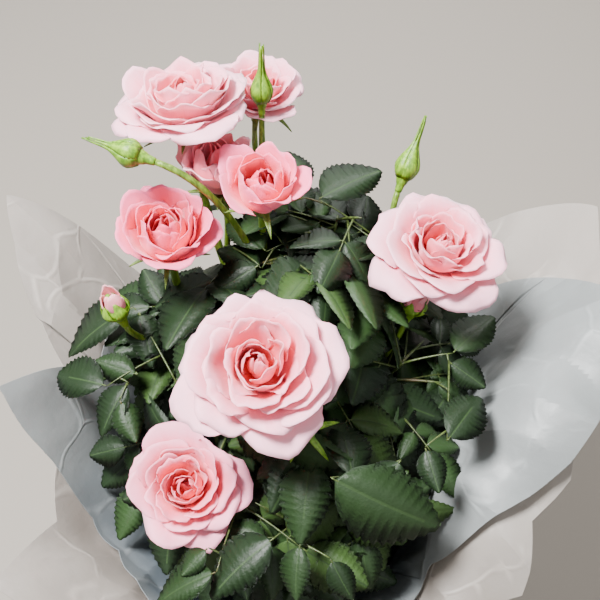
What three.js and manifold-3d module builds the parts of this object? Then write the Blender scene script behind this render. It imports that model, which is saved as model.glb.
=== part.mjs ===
// A potted rose bush in bloom: several canes rise from one low crown in the soil of a plain round pot,
// and end in eight double pink blooms and six buds. Leafy shoots carry dark green leaves of five leaflets.
// Two square sheets of wrapping paper stand round the pot, held by a ribbon tied in a bow.
// Millimetres, +Z up, origin at the middle of the pot's flat underside, and the front of the bush faces -Y.

import * as THREE from "three";
import { mergeVertices } from "three/addons/utils/BufferGeometryUtils.js";
import Module from "manifold-3d";

const wasm = await Module();
wasm.setup();

// Driving dimensions
const GAP = 0.3;
const UP = new THREE.Vector3(0, 0, 1);
const GOLDEN_ANGLE = THREE.MathUtils.degToRad(137.5);

const POT = {
  rimRadius: 72, neckRadius: 70.5, baseRadius: 53, height: 130, lipHeight: 9, wall: 4, floor: 4, sides: 28,
};
const SOIL_TOP = 118;
const CROWN = { baseRadius: 12, waistRadius: 8.5, topRadius: 6.5, height: 22, sides: 10 };

const PAPER = {
  footHeight: 3, tieHeight: 88, tieRadius: 68.1, footRadius: 57, thickness: 0.8, layerGap: 0.42, spread: 9,
  pleats: 9, pleatDepth: 1.8, footPleats: 10, footPleatDepth: 1, sides: 40,
  rows: [0, 0.28, 0.52, 0.76, 1],
};
// Above the ribbon the paper rises and arches outwards. At each direction round the pot, in degrees, pull is
// the radius and height that it is drawn towards on the way, and end the farthest that it can reach.
const FLARE = [
  { angle: 0, pull: [84, 250], end: [156, 264] },
  { angle: 27, pull: [95, 190], end: [161, 262] },
  { angle: 63, pull: [95, 150], end: [125, 185] },
  { angle: 90, pull: [92, 140], end: [118, 160] },
  { angle: 126, pull: [95, 150], end: [122, 178] },
  { angle: 153, pull: [88, 200], end: [150, 276] },
  { angle: 180, pull: [88, 190], end: [130, 240] },
  { angle: 198, pull: [95, 180], end: [155, 227] },
  { angle: 216, pull: [100, 160], end: [165, 200] },
  { angle: 243, pull: [100, 150], end: [150, 170] },
  { angle: 270, pull: [98, 150], end: [140, 156] },
  { angle: 297, pull: [92, 190], end: [140, 165] },
  { angle: 324, pull: [78, 270], end: [155, 205] },
  { angle: 342, pull: [80, 272], end: [155, 238] },
];
// How much of that reach each sheet takes up, by direction: a square's corners stand out and its sides less.
const INNER_SHEET = {
  layer: 0,
  reach: [
    [0, 1], [36, 0.62], [90, 0.8], [150, 0.6], [171, 0.62], [189, 1], [198, 0.72], [207, 0.56], [216, 0.53],
    [234, 0.62], [270, 0.85], [306, 0.6], [333, 0.85],
  ],
};
const OUTER_SHEET = {
  layer: 1,
  reach: [
    [27, 1], [45, 0.97], [54, 0.8], [63, 0.72], [90, 0.75], [130, 0.8], [153, 1], [189, 0.66], [207, 0.69],
    [216, 1], [252, 0.8], [288, 0.8], [306, 0.92], [315, 1], [324, 0.86], [333, 0.9], [351, 0.7],
  ],
};

const RIBBON = {
  height: 11, belowTie: 3, thickness: 1.1, bowAngle: 218, loopReach: 44, loopHeight: 11, tailDrop: 58,
  bandSides: 20,
};

// Each bloom: the middle of its face, the way it faces, petal length, how open it is and its petals.
const bloom = (at, faces, petal, open, petals, turn) => ({ at, faces, petal, open, petals, turn });
const BLOOMS = {
  bloom_centre: bloom([-16, -56, 296], [0.03, -0.47, 0.88], 35, 1.0, 10, 0.4),
  bloom_right: bloom([61, 14, 290], [0.12, -0.22, 0.97], 31, 0.9, 9, 1.9),
  bloom_upper_left: bloom([-51, 66, 331], [-0.08, -0.06, 0.99], 31, 0.95, 9, 3.1),
  bloom_upper_back: bloom([-18, 100, 310], [0.1, -0.05, 0.99], 24, 0.72, 7, 0.9),
  bloom_lower_left: bloom([-51, -68, 225], [0.0, -0.42, 0.91], 28, 0.85, 8, 5.2),
  bloom_left: bloom([-59, 18, 301], [0.0, -0.16, 0.99], 28, 0.55, 7, 2.2),
  bloom_cup: bloom([-16, 29, 315], [0.05, -0.2, 0.98], 26, 0.42, 7, 4.1),
  bloom_small: bloom([-40, 52, 304], [-0.12, 0.05, 0.99], 22, 0.2, 5, 0.2),
};
// How a petal stands, from the innermost to the outermost: its lean from the bloom's axis at its foot and at
// its rim in degrees, its share of the petal length, and half the angle that it spans.
const PETAL = {
  innerFootLean: 12, outerFootLean: 20, openFootLean: 40, innerRimLean: -28, outerRimLean: -5,
  openRimLean: 115, bend: 1.6, innerLength: 0.62, innerSpan: 80, outerSpan: 42, footRadius: 2.2,
  firstRank: 0.25, steps: 12, thickness: 0.9, squareness: 0.65, footWidth: 0.45,
};
const BLADE = { widest: 0.45, keel: 0.1, sunk: 0.4 };
const CALYX = {
  radius: 4.6, length: 9, stalkRadius: 2.1, sepals: 5, sepalLength: 19, sepalWidth: 4.2, share: 0.6,
};

// Each bud: the foot of its hip, the way it points, the radius and length of its egg and its tip's length.
const BUDS = {
  bud_left: { at: [-61, 26, 330], points: [-0.94, 0.26, 0.2], radius: 6.2, egg: 13, tip: 12 },
  bud_right: { at: [46, 52, 288], points: [0.32, 0.52, 0.79], radius: 6.4, egg: 16, tip: 15 },
  bud_top: { at: [-18, 80, 311], points: [0.02, 0.2, 0.98], radius: 5.6, egg: 14, tip: 14 },
  bud_pink_left: { at: [-80, -3, 256], points: [-0.3, 0.1, 0.95], radius: 6.2, egg: 13, tip: 6 },
  bud_pink_right: { at: [49, 2, 253], points: [0.25, 0.1, 0.96], radius: 6, egg: 13, tip: 4 },
  bud_front: { at: [3, -58, 250], points: [-0.1, -0.35, 0.93], radius: 5, egg: 11, tip: 9 },
};

// Flowering canes: the direction round the crown at which each starts, the bloom that it bears, its radii.
const CANE = { footRadius: 6, footHeight: 13, rise: 0.8, tipRadius: 1.7, sides: 6, rows: 7 };
const CANES = {
  cane_centre: { angle: 304, bears: "bloom_centre", radius: 2.5, startReach: 62, endReach: 70 },
  cane_right: { angle: 8, bears: "bloom_right", radius: 2.5, startReach: 62, endReach: 85 },
  cane_back_left: { angle: 128, bears: "bloom_upper_left", radius: 2.6, startReach: 70, endReach: 85 },
  cane_back: { angle: 70, bears: "bloom_cup", radius: 2.5, startReach: 62, endReach: 85 },
  cane_left: { angle: 186, bears: "bloom_left", radius: 2.4, startReach: 68, endReach: 80 },
  cane_lower_left: { angle: 244, bears: "bloom_lower_left", radius: 2.2, startReach: 42, endReach: 42 },
};
// Side stalks: the cane that each leaves, how far up it, and the bloom or bud that it bears.
const STALK = { footRadius: 1.7, tipRadius: 1.35, sides: 5, rows: 4 };
const stalk = (from, share, bears, startReach, endReach) => ({ from, share, bears, startReach, endReach });
const STALKS = {
  stalk_small: stalk("cane_back_left", 0.66, "bloom_small", 10, 14),
  stalk_upper_back: stalk("cane_back", 0.56, "bloom_upper_back", 22, 30),
  stalk_top_bud: stalk("cane_back", 0.8, "bud_top", 16, 20),
  stalk_left_bud: stalk("cane_back", 0.7, "bud_left", 26, 34),
  stalk_right_bud: stalk("cane_right", 0.62, "bud_right", 18, 22),
  stalk_pink_right: stalk("cane_right", 0.5, "bud_pink_right", 14, 20),
  stalk_pink_left: stalk("cane_left", 0.58, "bud_pink_left", 14, 16),
  stalk_front_bud: stalk("cane_centre", 0.62, "bud_front", 10, 14),
};

// Leafy shoots: where each leaves the crown, where it ends, and the share of it that is a bare bough.
const SHOOT = {
  footRadius: 9.5, footHeight: 5, rise: 0.55, radius: 1.9, stemRadius: 1.4, tipRadius: 0.8, bare: 0.36,
  startReach: 0.42, endReach: 0.36, sides: 5, rows: 3, stemSides: 4, stemRows: 4,
};
const SHOOTS = {
  middle: { angle: 55, tip: [14, -16, 246], seed: 11, leaves: 8, upright: true },
  back: { angle: 92, tip: [18, 46, 278], seed: 23, leaves: 8 },
  back_left: { angle: 152, tip: [-34, 36, 268], seed: 37, leaves: 7 },
  left: { angle: 205, tip: [-56, -24, 238], seed: 41, leaves: 9 },
  front_left: { angle: 257, tip: [-28, -68, 208], seed: 59, leaves: 9 },
  front: { angle: 289, tip: [6, -80, 200], seed: 61, leaves: 10 },
  front_right: { angle: 322, tip: [48, -62, 220], seed: 73, leaves: 10 },
  right: { angle: 350, tip: [48, -14, 242], seed: 83, leaves: 9 },
  back_right: { angle: 42, tip: [44, 32, 268], seed: 97, leaves: 7 },
};

// Leaves: a three-sided midrib with five leaflets, the last of them at its end.
const LEAF = {
  spacing: 5.5, ribLength: 33, ribRadius: 0.95, droop: 0.25, sideTilt: 64, thickness: 0.7, fold: 0.14,
  outward: 0.8, lightOut: 0.4, clearance: 2, tries: 14, tryTurn: 1.3, tryShrink: 0.03,
  stray: 26, room: 7,
};
const LEAFLETS = [
  { share: 1, side: 0, length: 33 },
  { share: 0.76, side: 1, length: 27 },
  { share: 0.76, side: -1, length: 27 },
  { share: 0.34, side: 1, length: 20 },
  { share: 0.34, side: -1, length: 20 },
];
const LEAFLET_WIDTH = 0.3;
const TWIG = { every: 4, length: 24, radius: 1.1, lift: 0.15, leaves: [0.55] };
const DOME = { middle: [-4, -17], halfWidth: 102, halfDepth: 94, top: 292, edge: 254, backRise: 0.5 };
const LIGHT = new THREE.Vector3(0, -0.3, 1).normalize();
const OPEN_SIDE = new THREE.Vector3(0, -0.64, 0.77).normalize();
const OPEN_REACH = 130;

const LOOKS = {
  pot: { color: 0x3c3c3d, roughness: 0.6 },
  soil: { color: 0x2c211a, roughness: 1 },
  innerPaper: { color: 0xd3d8d8, roughness: 0.5 },
  outerPaper: { color: 0xe0d6cd, roughness: 0.6 },
  ribbon: { color: 0xe9e6d8, roughness: 0.45 },
  bark: { color: 0x5b4a2c, roughness: 0.85 },
  cane: { color: 0x4f6a22, roughness: 0.55 },
  foliage: { color: 0x2c4f2a, roughness: 0.45 },
  petals: { color: 0xf2a6ae, roughness: 0.6 },
  bud: { color: 0x8fae3a, roughness: 0.5 },
  pinkBud: { color: 0xf08a92, roughness: 0.55 },
};

const vector = ([x, y, z]) => new THREE.Vector3(x, y, z);
const radians = THREE.MathUtils.degToRad;
const lerp = THREE.MathUtils.lerp;

// A repeatable run of numbers from 0 to 1.
function dice(seed) {
  let state = seed >>> 0;
  const draw = () => {
    state = (Math.imul(state, 1664525) + 1013904223) >>> 0;
    return state / 4294967296;
  };
  for (let k = 0; k < 3; k++) draw();
  return draw;
}

// The closed solid of a geometry, turned outside out if its faces point inwards.
function solidOf(geometry) {
  const bare = geometry.clone();
  bare.deleteAttribute("normal");
  bare.deleteAttribute("uv");
  const merged = mergeVertices(bare, 1e-4);
  const corners = Array.from(merged.index.array);
  const triVerts = corners.filter((_, i) => {
    const [a, b, c] = corners.slice(i - (i % 3), i - (i % 3) + 3);
    return a !== b && b !== c && c !== a;
  });
  const make = (indices) => new wasm.Manifold(new wasm.Mesh({
    numProp: 3,
    vertProperties: merged.attributes.position.array,
    triVerts: new Uint32Array(indices),
  }));
  const solid = make(triVerts);
  return solid.volume() > 0 ? solid : make(triVerts.reverse());
}

function geometryOf(solid) {
  const mesh = solid.getMesh();
  const places = new Float32Array(mesh.numVert * 3);
  for (let i = 0; i < mesh.numVert; i++) {
    places.set(mesh.vertProperties.subarray(i * mesh.numProp, i * mesh.numProp + 3), i * 3);
  }
  return new THREE.BufferGeometry()
    .setAttribute("position", new THREE.BufferAttribute(places, 3))
    .setIndex(new THREE.BufferAttribute(mesh.triVerts, 1));
}

// Joins solids into one and fills any pocket that they close off between them.
function fuse(solids) {
  const shells = wasm.Manifold.union(solids).decompose();
  return wasm.Manifold.union(shells.filter((shell) => shell.volume() > 0));
}

function biggest(solid) {
  return solid.decompose().reduce((most, part) => (part.volume() > most.volume() ? part : most));
}

// Moves every vertex of a geometry to where place says.
function reshape(geometry, place) {
  const places = geometry.attributes.position;
  const point = new THREE.Vector3();
  for (let i = 0; i < places.count; i++) {
    point.fromBufferAttribute(places, i);
    const moved = place(point);
    places.setXYZ(i, moved.x, moved.y, moved.z);
  }
  return geometry;
}

// A tapering limb: a cylinder bent along the stretch of a curve from one share of it to another.
function limb(curve, from, to, startRadius, endRadius, sides, rows) {
  const cylinder = new THREE.CylinderGeometry(endRadius, startRadius, 1, sides, rows);
  const start = curve.getPoint(0);
  const chord = curve.getPoint(1).sub(start);
  const across = curve.getPoint(0.4).sub(start).cross(chord);
  const straight = across.length() < 1e-3 * chord.lengthSq();
  if (straight) across.copy(chord).cross(new THREE.Vector3(0.31, 0.87, 0.12));
  across.normalize();
  return solidOf(reshape(cylinder, (p) => {
    const share = lerp(from, to, p.y + 0.5);
    const way = curve.getTangent(share);
    const side = across.clone().cross(way).normalize();
    const other = way.clone().cross(side);
    return curve.getPoint(share).addScaledVector(side, p.x).addScaledVector(other, p.z);
  }));
}

// Any two directions square to the one given, the first one level with the ground.
function squareTo(way) {
  const upright = Math.abs(way.z) > 0.99;
  const level = new THREE.Vector3().crossVectors(way, upright ? new THREE.Vector3(0, 1, 0) : UP);
  level.normalize();
  return [level, new THREE.Vector3().crossVectors(way, level)];
}

// The pot, its soil and the crown
function latheSolid(points, sides) {
  const lathe = new THREE.LatheGeometry(points.map(([r, z]) => new THREE.Vector2(r, z)), sides);
  return solidOf(lathe.rotateX(Math.PI / 2));
}

function potSolid() {
  const { rimRadius, neckRadius, baseRadius, height, lipHeight, wall, floor, sides } = POT;
  return latheSolid([
    [0, 0], [baseRadius, 0], [neckRadius, height - lipHeight], [rimRadius, height - lipHeight],
    [rimRadius, height], [rimRadius - wall, height], [baseRadius - wall, floor], [0, floor],
  ], sides);
}

function soilSolid() {
  const { rimRadius, baseRadius, height, wall, floor, sides } = POT;
  const insideAt = (z) => lerp(baseRadius, rimRadius, (z - floor) / (height - floor)) - wall - GAP;
  const low = floor + GAP;
  return latheSolid([[0, low], [insideAt(low), low], [insideAt(SOIL_TOP), SOIL_TOP], [0, SOIL_TOP]], sides);
}

function crownSolid(extra = 0) {
  const { baseRadius, waistRadius, topRadius, height, sides } = CROWN;
  const low = SOIL_TOP + GAP;
  return latheSolid([
    [0, low - extra], [baseRadius + extra, low - extra], [waistRadius + extra, low + 0.35 * height],
    [topRadius + extra, low + 0.85 * height], [0, low + height + extra],
  ], sides);
}

// The paper: a wall round the pot whose radius depends on direction and height.
function between(table, angle, angleOf, mix) {
  const later = table.findIndex((entry) => angleOf(entry) > angle);
  const next = table[later < 0 ? 0 : later];
  const last = table[(later < 0 ? table.length : later || table.length) - 1];
  const gap = (angleOf(next) - angleOf(last) + 360) % 360;
  return mix(last, next, ((angle - angleOf(last) + 360) % 360) / gap);
}

function flareAt(angle) {
  return between(FLARE, angle, (entry) => entry.angle, (last, next, share) => ({
    pull: last.pull.map((value, i) => lerp(value, next.pull[i], share)),
    end: last.end.map((value, i) => lerp(value, next.end[i], share)),
  }));
}

const reachAt = (sheet, angle) =>
  between(sheet.reach, angle, (entry) => entry[0], (last, next, share) => lerp(last[1], next[1], share));

// Radius and height of the flared paper, the given distance outside its innermost face. The paper runs
// straight between the rows, so that one sheet lies against the other wherever either of them ends.
function flaredPoint(angle, share, outside) {
  const { pull, end } = flareAt(angle);
  const tie = new THREE.Vector2(PAPER.tieRadius, PAPER.tieHeight);
  const curve = new THREE.QuadraticBezierCurve(tie, new THREE.Vector2(...pull), new THREE.Vector2(...end));
  const rowPoint = (at) => {
    const way = curve.getTangent(at);
    const pleat = PAPER.pleatDepth * at * (1 + Math.cos(PAPER.pleats * radians(angle)));
    return curve.getPoint(at).add(new THREE.Vector2(way.y, -way.x).multiplyScalar(outside(at) + pleat));
  };
  const row = Math.max(1, PAPER.rows.findIndex((at) => at >= share));
  const [low, high] = [PAPER.rows[row - 1], PAPER.rows[row]];
  return rowPoint(low).lerp(rowPoint(high), (share - low) / (high - low));
}

function skirtPoint(angle, z, outside) {
  const down = (PAPER.tieHeight - z) / (PAPER.tieHeight - PAPER.footHeight);
  const pleat = PAPER.footPleatDepth * down * (1 + Math.cos(PAPER.footPleats * radians(angle)));
  return new THREE.Vector2(lerp(PAPER.tieRadius, PAPER.footRadius, down) + pleat + outside, z);
}

// The height of the flare's inner face at a radius, below which a leaf there would be outside the paper.
function flareHeight(angle, radius) {
  const { pull, end } = flareAt(angle);
  const first = 2 * (pull[0] - PAPER.tieRadius);
  const second = PAPER.tieRadius - 2 * pull[0] + end[0];
  const root = Math.sqrt(first * first + 4 * second * (radius - PAPER.tieRadius));
  const share = Math.min(1, (root - first) / (2 * second));
  return PAPER.tieHeight * (1 - share) ** 2 + 2 * share * (1 - share) * pull[1] + share * share * end[1];
}

// Splits a lathe's four-sided faces from one row on along their other diagonal, so that the two faces of a
// thin wall are split alike and never meet.
function matchDiagonals(lathe, rows, from) {
  const corners = lathe.index.array;
  for (let quad = 0; quad < corners.length / 6; quad++) {
    if (quad % rows < from) continue;
    const [a, b, d, c] = corners.slice(6 * quad, 6 * quad + 4);
    corners.set([a, b, c, a, c, d], 6 * quad);
  }
  return lathe;
}

// One sheet as a thin closed shell: up the inside of the wall, over the rim and down the outside.
function sheetSolid(sheet) {
  const last = PAPER.rows.length;
  const loop = [];
  for (let row = 0; row <= last; row++) loop.push(new THREE.Vector2(1, row));
  for (let row = last; row >= 0; row--) loop.push(new THREE.Vector2(2, row));
  loop.push(loop[0].clone());
  const lathe = matchDiagonals(new THREE.LatheGeometry(loop, PAPER.sides), loop.length - 1, last + 1);
  return solidOf(reshape(lathe, (p) => {
    const angle = (Math.round(THREE.MathUtils.radToDeg(Math.atan2(p.x, p.z)) * 10) / 10 + 360) % 360;
    const row = Math.round(p.y);
    const face = Math.hypot(p.x, p.z) > 1.5 ? PAPER.thickness : 0;
    const apart = (share) => PAPER.thickness + PAPER.layerGap + PAPER.spread * share ** 1.5;
    const outside = (share) => sheet.layer * apart(share) + face;
    const place = row === 0
      ? skirtPoint(angle, PAPER.footHeight, outside(0))
      : flaredPoint(angle, Math.min(PAPER.rows[row - 1], reachAt(sheet, angle)), outside);
    const turn = radians(angle);
    return new THREE.Vector3(place.x * Math.cos(turn), place.x * Math.sin(turn), place.y);
  }));
}

// The ribbon: a band round both sheets, a knot, two loops and two tails.
function ribbonSolid() {
  const sheets = PAPER.tieRadius + 2 * PAPER.thickness + PAPER.layerGap;
  const inside = sheets / Math.cos(Math.PI / RIBBON.bandSides);
  const high = PAPER.tieHeight - RIBBON.belowTie;
  const low = high - RIBBON.height;
  const band = latheSolid([
    [inside, low], [inside + RIBBON.thickness, low], [inside + RIBBON.thickness, high], [inside, high],
    [inside, low],
  ], RIBBON.bandSides);
  const out = new THREE.Vector3(Math.cos(radians(RIBBON.bowAngle)), Math.sin(radians(RIBBON.bowAngle)), 0);
  const along = new THREE.Vector3(-out.y, out.x, 0);
  const middle = low + RIBBON.height / 2;
  const place = (outward, sideways, z) =>
    out.clone().multiplyScalar(inside + outward).addScaledVector(along, sideways).setZ(z);
  const strip = (points) => {
    const curve = new THREE.CatmullRomCurve3(points);
    const section = new THREE.Shape();
    const half = RIBBON.height / 2;
    section.moveTo(-half, -0.6).lineTo(half, -0.6).lineTo(half, 0.6).lineTo(-half, 0.6).closePath();
    const sweep = { steps: 4, extrudePath: curve, bevelEnabled: false };
    return solidOf(new THREE.ExtrudeGeometry(section, sweep));
  };
  const reach = RIBBON.loopReach;
  const parts = [band, solidOf(new THREE.BoxGeometry(11, 11, 12).rotateZ(radians(RIBBON.bowAngle))
    .translate(...place(4.5, 0, middle).toArray()))];
  for (const side of [-1, 1]) {
    parts.push(strip([
      place(4, 2 * side, middle + 1), place(9, 0.45 * reach * side, middle + RIBBON.loopHeight),
      place(17, reach * side, middle + 3), place(9, 0.5 * reach * side, middle - 6),
      place(4, 2 * side, middle - 2),
    ]));
    parts.push(strip([
      place(5, 3 * side, middle), place(10, 13 * side, middle - 0.3 * RIBBON.tailDrop),
      place(9, 24 * side, middle - RIBBON.tailDrop),
    ]));
  }
  return fuse(parts);
}

// A bloom's own frame: its foot, its axis and the two directions across it.
function flowerFrame(spec) {
  const axis = vector(spec.faces).normalize();
  const [side, front] = squareTo(axis);
  const foot = vector(spec.at).addScaledVector(axis, -CALYX.share * spec.petal);
  return { axis, side, front, foot };
}

// Where a petal's surface lies. rank is 0 for the innermost petal and 1 for the outermost, u runs from edge
// to edge and v from foot to rim.
function petalPoint(spec, frame, rank, turn, u, v) {
  const footLean = lerp(PETAL.innerFootLean, PETAL.outerFootLean + PETAL.openFootLean * spec.open, rank);
  const rimLean = lerp(PETAL.innerRimLean, PETAL.outerRimLean + PETAL.openRimLean * spec.open, rank ** 1.2);
  const length = spec.petal * lerp(PETAL.innerLength, 1, rank);
  const reach = v * (1 - 0.08 * Math.abs(u) ** 3);
  let radius = PETAL.footRadius * (0.3 + 0.7 * rank);
  let height = 0;
  for (let step = 0; step < PETAL.steps; step++) {
    const lean = radians(lerp(footLean, rimLean, (((step + 0.5) / PETAL.steps) * reach) ** PETAL.bend));
    radius += (Math.sin(lean) * length * reach) / PETAL.steps;
    height += (Math.cos(lean) * length * reach) / PETAL.steps;
  }
  const span = radians(lerp(PETAL.innerSpan, PETAL.outerSpan, rank));
  const angle = turn + u * span;
  const spiral = Math.max(radius, 0.4) * (1 + 0.07 * u);
  return frame.foot.clone()
    .addScaledVector(frame.axis, height)
    .addScaledVector(frame.side, spiral * Math.cos(angle))
    .addScaledVector(frame.front, spiral * Math.sin(angle));
}

function petalSolid(spec, frame, rank, turn) {
  const disc = new THREE.SphereGeometry(1, 8, 2);
  const flat = (p) => {
    const squared = 1 / Math.max(Math.abs(p.x), Math.abs(p.z), 0.5) ** PETAL.squareness;
    const along = 0.5 + 0.5 * p.z * squared;
    return petalPoint(spec, frame, rank, turn, p.x * squared * lerp(PETAL.footWidth, 1, along), along);
  };
  return solidOf(reshape(disc, (p) => {
    const point = flat(p);
    const level = point.clone().sub(frame.foot);
    const outward = level.addScaledVector(frame.axis, -level.dot(frame.axis));
    const normal = outward.normalize().lerp(frame.axis, -0.5 * rank).normalize();
    return point.addScaledVector(normal, 0.5 * PETAL.thickness * p.y);
  }));
}

// A solid of revolution about a flower's own axis, from its foot.
function turnedSolid(points, frame, sides) {
  const lathe = new THREE.LatheGeometry(points.map(([r, h]) => new THREE.Vector2(r, h)), sides);
  return solidOf(reshape(lathe, (p) => frame.foot.clone()
    .addScaledVector(frame.axis, p.y).addScaledVector(frame.side, p.x).addScaledVector(frame.front, p.z)));
}

// A thin pointed blade of six faces with a keel near its root, its edges raised or sunk by the fold.
function bladeSolid(root, way, normal, length, width, fold, thickness) {
  const side = new THREE.Vector3().crossVectors(way, normal);
  const corners = [[0, 0, 0], [1, 0, 0], [BLADE.keel, 0, -1], [BLADE.widest, 1, 0], [BLADE.widest, -1, 0]];
  return solidOf(reshape(new THREE.ConeGeometry(1, 1, 3), (p) => {
    const round = (Math.round(Math.atan2(p.x, p.z) / (2 * Math.PI / 3)) + 3) % 3;
    const end = p.y > 0 ? 3 : 4;
    const [along, across, down] = corners[Math.hypot(p.x, p.z) > 0.5 ? round : end];
    return root.clone()
      .addScaledVector(way, along * length - BLADE.sunk)
      .addScaledVector(side, across * width)
      .addScaledVector(normal, fold * width * Math.abs(across) + thickness * down);
  }));
}

function sepalSolids(frame, lean, foot) {
  const sepals = [];
  for (let k = 0; k < CALYX.sepals; k++) {
    const angle = (k / CALYX.sepals) * 2 * Math.PI + 0.3;
    const out = frame.side.clone().multiplyScalar(Math.cos(angle));
    out.addScaledVector(frame.front, Math.sin(angle));
    const way = out.clone().multiplyScalar(Math.sin(lean)).addScaledVector(frame.axis, Math.cos(lean));
    const normal = frame.axis.clone().multiplyScalar(Math.sin(lean)).addScaledVector(out, -Math.cos(lean));
    const root = frame.foot.clone().addScaledVector(frame.axis, foot);
    root.addScaledVector(out, 0.5 * CALYX.radius);
    sepals.push(bladeSolid(root, way, normal, CALYX.sepalLength, CALYX.sepalWidth / 2, -0.2, 1));
  }
  return sepals;
}

function bloomSolid(spec) {
  const frame = flowerFrame(spec);
  const parts = [];
  const hip = turnedSolid([
    [0, -CALYX.length], [CALYX.stalkRadius, -CALYX.length], [CALYX.radius, -0.45 * CALYX.length],
    [CALYX.radius * 0.9, 0.5], [0, 3],
  ], frame, 6);
  const heart = turnedSolid([
    [0, -1], [0.1 * spec.petal, 0.05 * spec.petal], [0.2 * spec.petal, 0.3 * spec.petal],
    [0.12 * spec.petal, 0.56 * spec.petal], [0, 0.6 * spec.petal],
  ], frame, 6);
  parts.push(hip, heart, ...sepalSolids(frame, radians(lerp(55, 112, spec.open)), -1.2));
  for (let k = 0; k < spec.petals; k++) {
    const rank = lerp(PETAL.firstRank, 1, k / (spec.petals - 1));
    parts.push(petalSolid(spec, frame, rank, spec.turn + k * GOLDEN_ANGLE));
  }
  return fuse(parts);
}

function budFrame(spec) {
  const axis = vector(spec.points).normalize();
  const [side, front] = squareTo(axis);
  return { axis, side, front, foot: vector(spec.at) };
}

function budSolid(spec) {
  const { radius, egg, tip } = spec;
  return turnedSolid([
    [0, 0], [STALK.tipRadius + 0.4, 0], [0.62 * radius, 4.5], [0.56 * radius, 7], [radius, 7 + 0.35 * egg],
    [0.72 * radius, 7 + 0.72 * egg], [0.22 * radius, 7 + egg], [0.5, 7 + egg + 0.6 * tip],
    [0, 7 + egg + tip],
  ], budFrame(spec), 6);
}

// Where a cane or stalk ends, and the way it points there.
function flowerEnd(name) {
  if (BUDS[name]) {
    const frame = budFrame(BUDS[name]);
    return { point: frame.foot.clone().addScaledVector(frame.axis, -GAP), way: frame.axis };
  }
  const frame = flowerFrame(BLOOMS[name]);
  return { point: frame.foot.clone().addScaledVector(frame.axis, -CALYX.length - GAP), way: frame.axis };
}

// A smooth curve that leaves one point one way and reaches another the other way.
function bow(start, startWay, startReach, end, endWay, endReach) {
  return new THREE.CubicBezierCurve3(
    start, start.clone().addScaledVector(startWay, startReach),
    end.clone().addScaledVector(endWay, -endReach), end,
  );
}

function crownStart(angle, radius, height, rise) {
  const out = new THREE.Vector3(Math.cos(radians(angle)), Math.sin(radians(angle)), 0);
  const point = out.clone().multiplyScalar(radius).setZ(SOIL_TOP + height);
  return { point, way: out.multiplyScalar(1 - rise).addScaledVector(UP, rise).normalize() };
}

const caneCurves = Object.fromEntries(Object.entries(CANES).map(([name, cane]) => {
  const start = crownStart(cane.angle, CANE.footRadius, CANE.footHeight, CANE.rise);
  const end = flowerEnd(cane.bears);
  return [name, bow(start.point, start.way, cane.startReach, end.point, end.way, cane.endReach)];
}));
const stalkCurves = Object.fromEntries(Object.entries(STALKS).map(([name, stalk]) => {
  const cane = caneCurves[stalk.from];
  const end = flowerEnd(stalk.bears);
  const start = cane.getPoint(stalk.share);
  const way = end.point.clone().sub(start).normalize().add(cane.getTangent(stalk.share)).normalize();
  return [name, bow(start, way, stalk.startReach, end.point, end.way, stalk.endReach)];
}));
const shootCurves = Object.fromEntries(Object.entries(SHOOTS).map(([name, shoot]) => {
  const start = shoot.upright
    ? { point: new THREE.Vector3(0, 0, SOIL_TOP + 0.7 * CROWN.height), way: UP.clone() }
    : crownStart(shoot.angle, SHOOT.footRadius, SHOOT.footHeight, SHOOT.rise);
  const tip = vector(shoot.tip);
  const length = tip.distanceTo(start.point);
  const lean = shoot.upright ? 0.2 : 0.6;
  const endWay = tip.clone().setZ(0).normalize().multiplyScalar(lean).add(UP).normalize();
  const reaches = [SHOOT.startReach * length, SHOOT.endReach * length];
  return [name, bow(start.point, start.way, reaches[0], tip, endWay, reaches[1])];
}));

// What a leaf keeps clear of: canes, stalks and boughs, blooms and the light above them, the paper, the pot.
const along = (curve, from, to, count) =>
  Array.from({ length: count + 1 }, (_, k) => curve.getPoint(lerp(from, to, k / count)));
const limbPoints = [
  ...Object.values(shootCurves).flatMap((curve) => along(curve, SHOOT.bare, 1, 20)),
  ...Object.values(caneCurves).flatMap((curve) => along(curve, 0, 1, 40)),
  ...Object.values(stalkCurves).flatMap((curve) => along(curve, 0, 1, 16)),
  ...Object.values(shootCurves).flatMap((curve) => along(curve, 0, SHOOT.bare, 14)),
];
const stemPoints = Object.fromEntries(Object.entries(shootCurves).map(
  ([name, curve]) => [name, along(curve, SHOOT.bare, 1, 8)]));

const placed = [];

function nearest(point, points) {
  return points.reduce((least, other) => Math.min(least, point.distanceTo(other)), Infinity);
}

function shadesBloom(point) {
  return Object.values(BLOOMS).some((spec) => {
    const reach = point.clone().sub(vector(spec.at));
    const up = THREE.MathUtils.clamp(reach.dot(OPEN_SIDE), 0, OPEN_REACH);
    const room = spec.petal * (0.6 + 0.35 * spec.open);
    return reach.addScaledVector(OPEN_SIDE, -up).length() < room;
  });
}

function insidePaper(point) {
  const angle = (THREE.MathUtils.radToDeg(Math.atan2(point.y, point.x)) + 360) % 360;
  const radius = Math.hypot(point.x, point.y) + 2 * LEAF.clearance;
  return radius < PAPER.tieRadius || point.z > flareHeight(angle, radius) + LEAF.clearance;
}

// The dome that the foliage fills: its middle, its half widths and the height of its top and of its edge.
function inDome(point) {
  const across = (point.x - DOME.middle[0]) / DOME.halfWidth;
  const out = Math.hypot(across, (point.y - DOME.middle[1]) / DOME.halfDepth);
  return out < 1 && point.z < lerp(DOME.top, DOME.edge, out * out) + DOME.backRise * Math.max(0, point.y);
}

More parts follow.
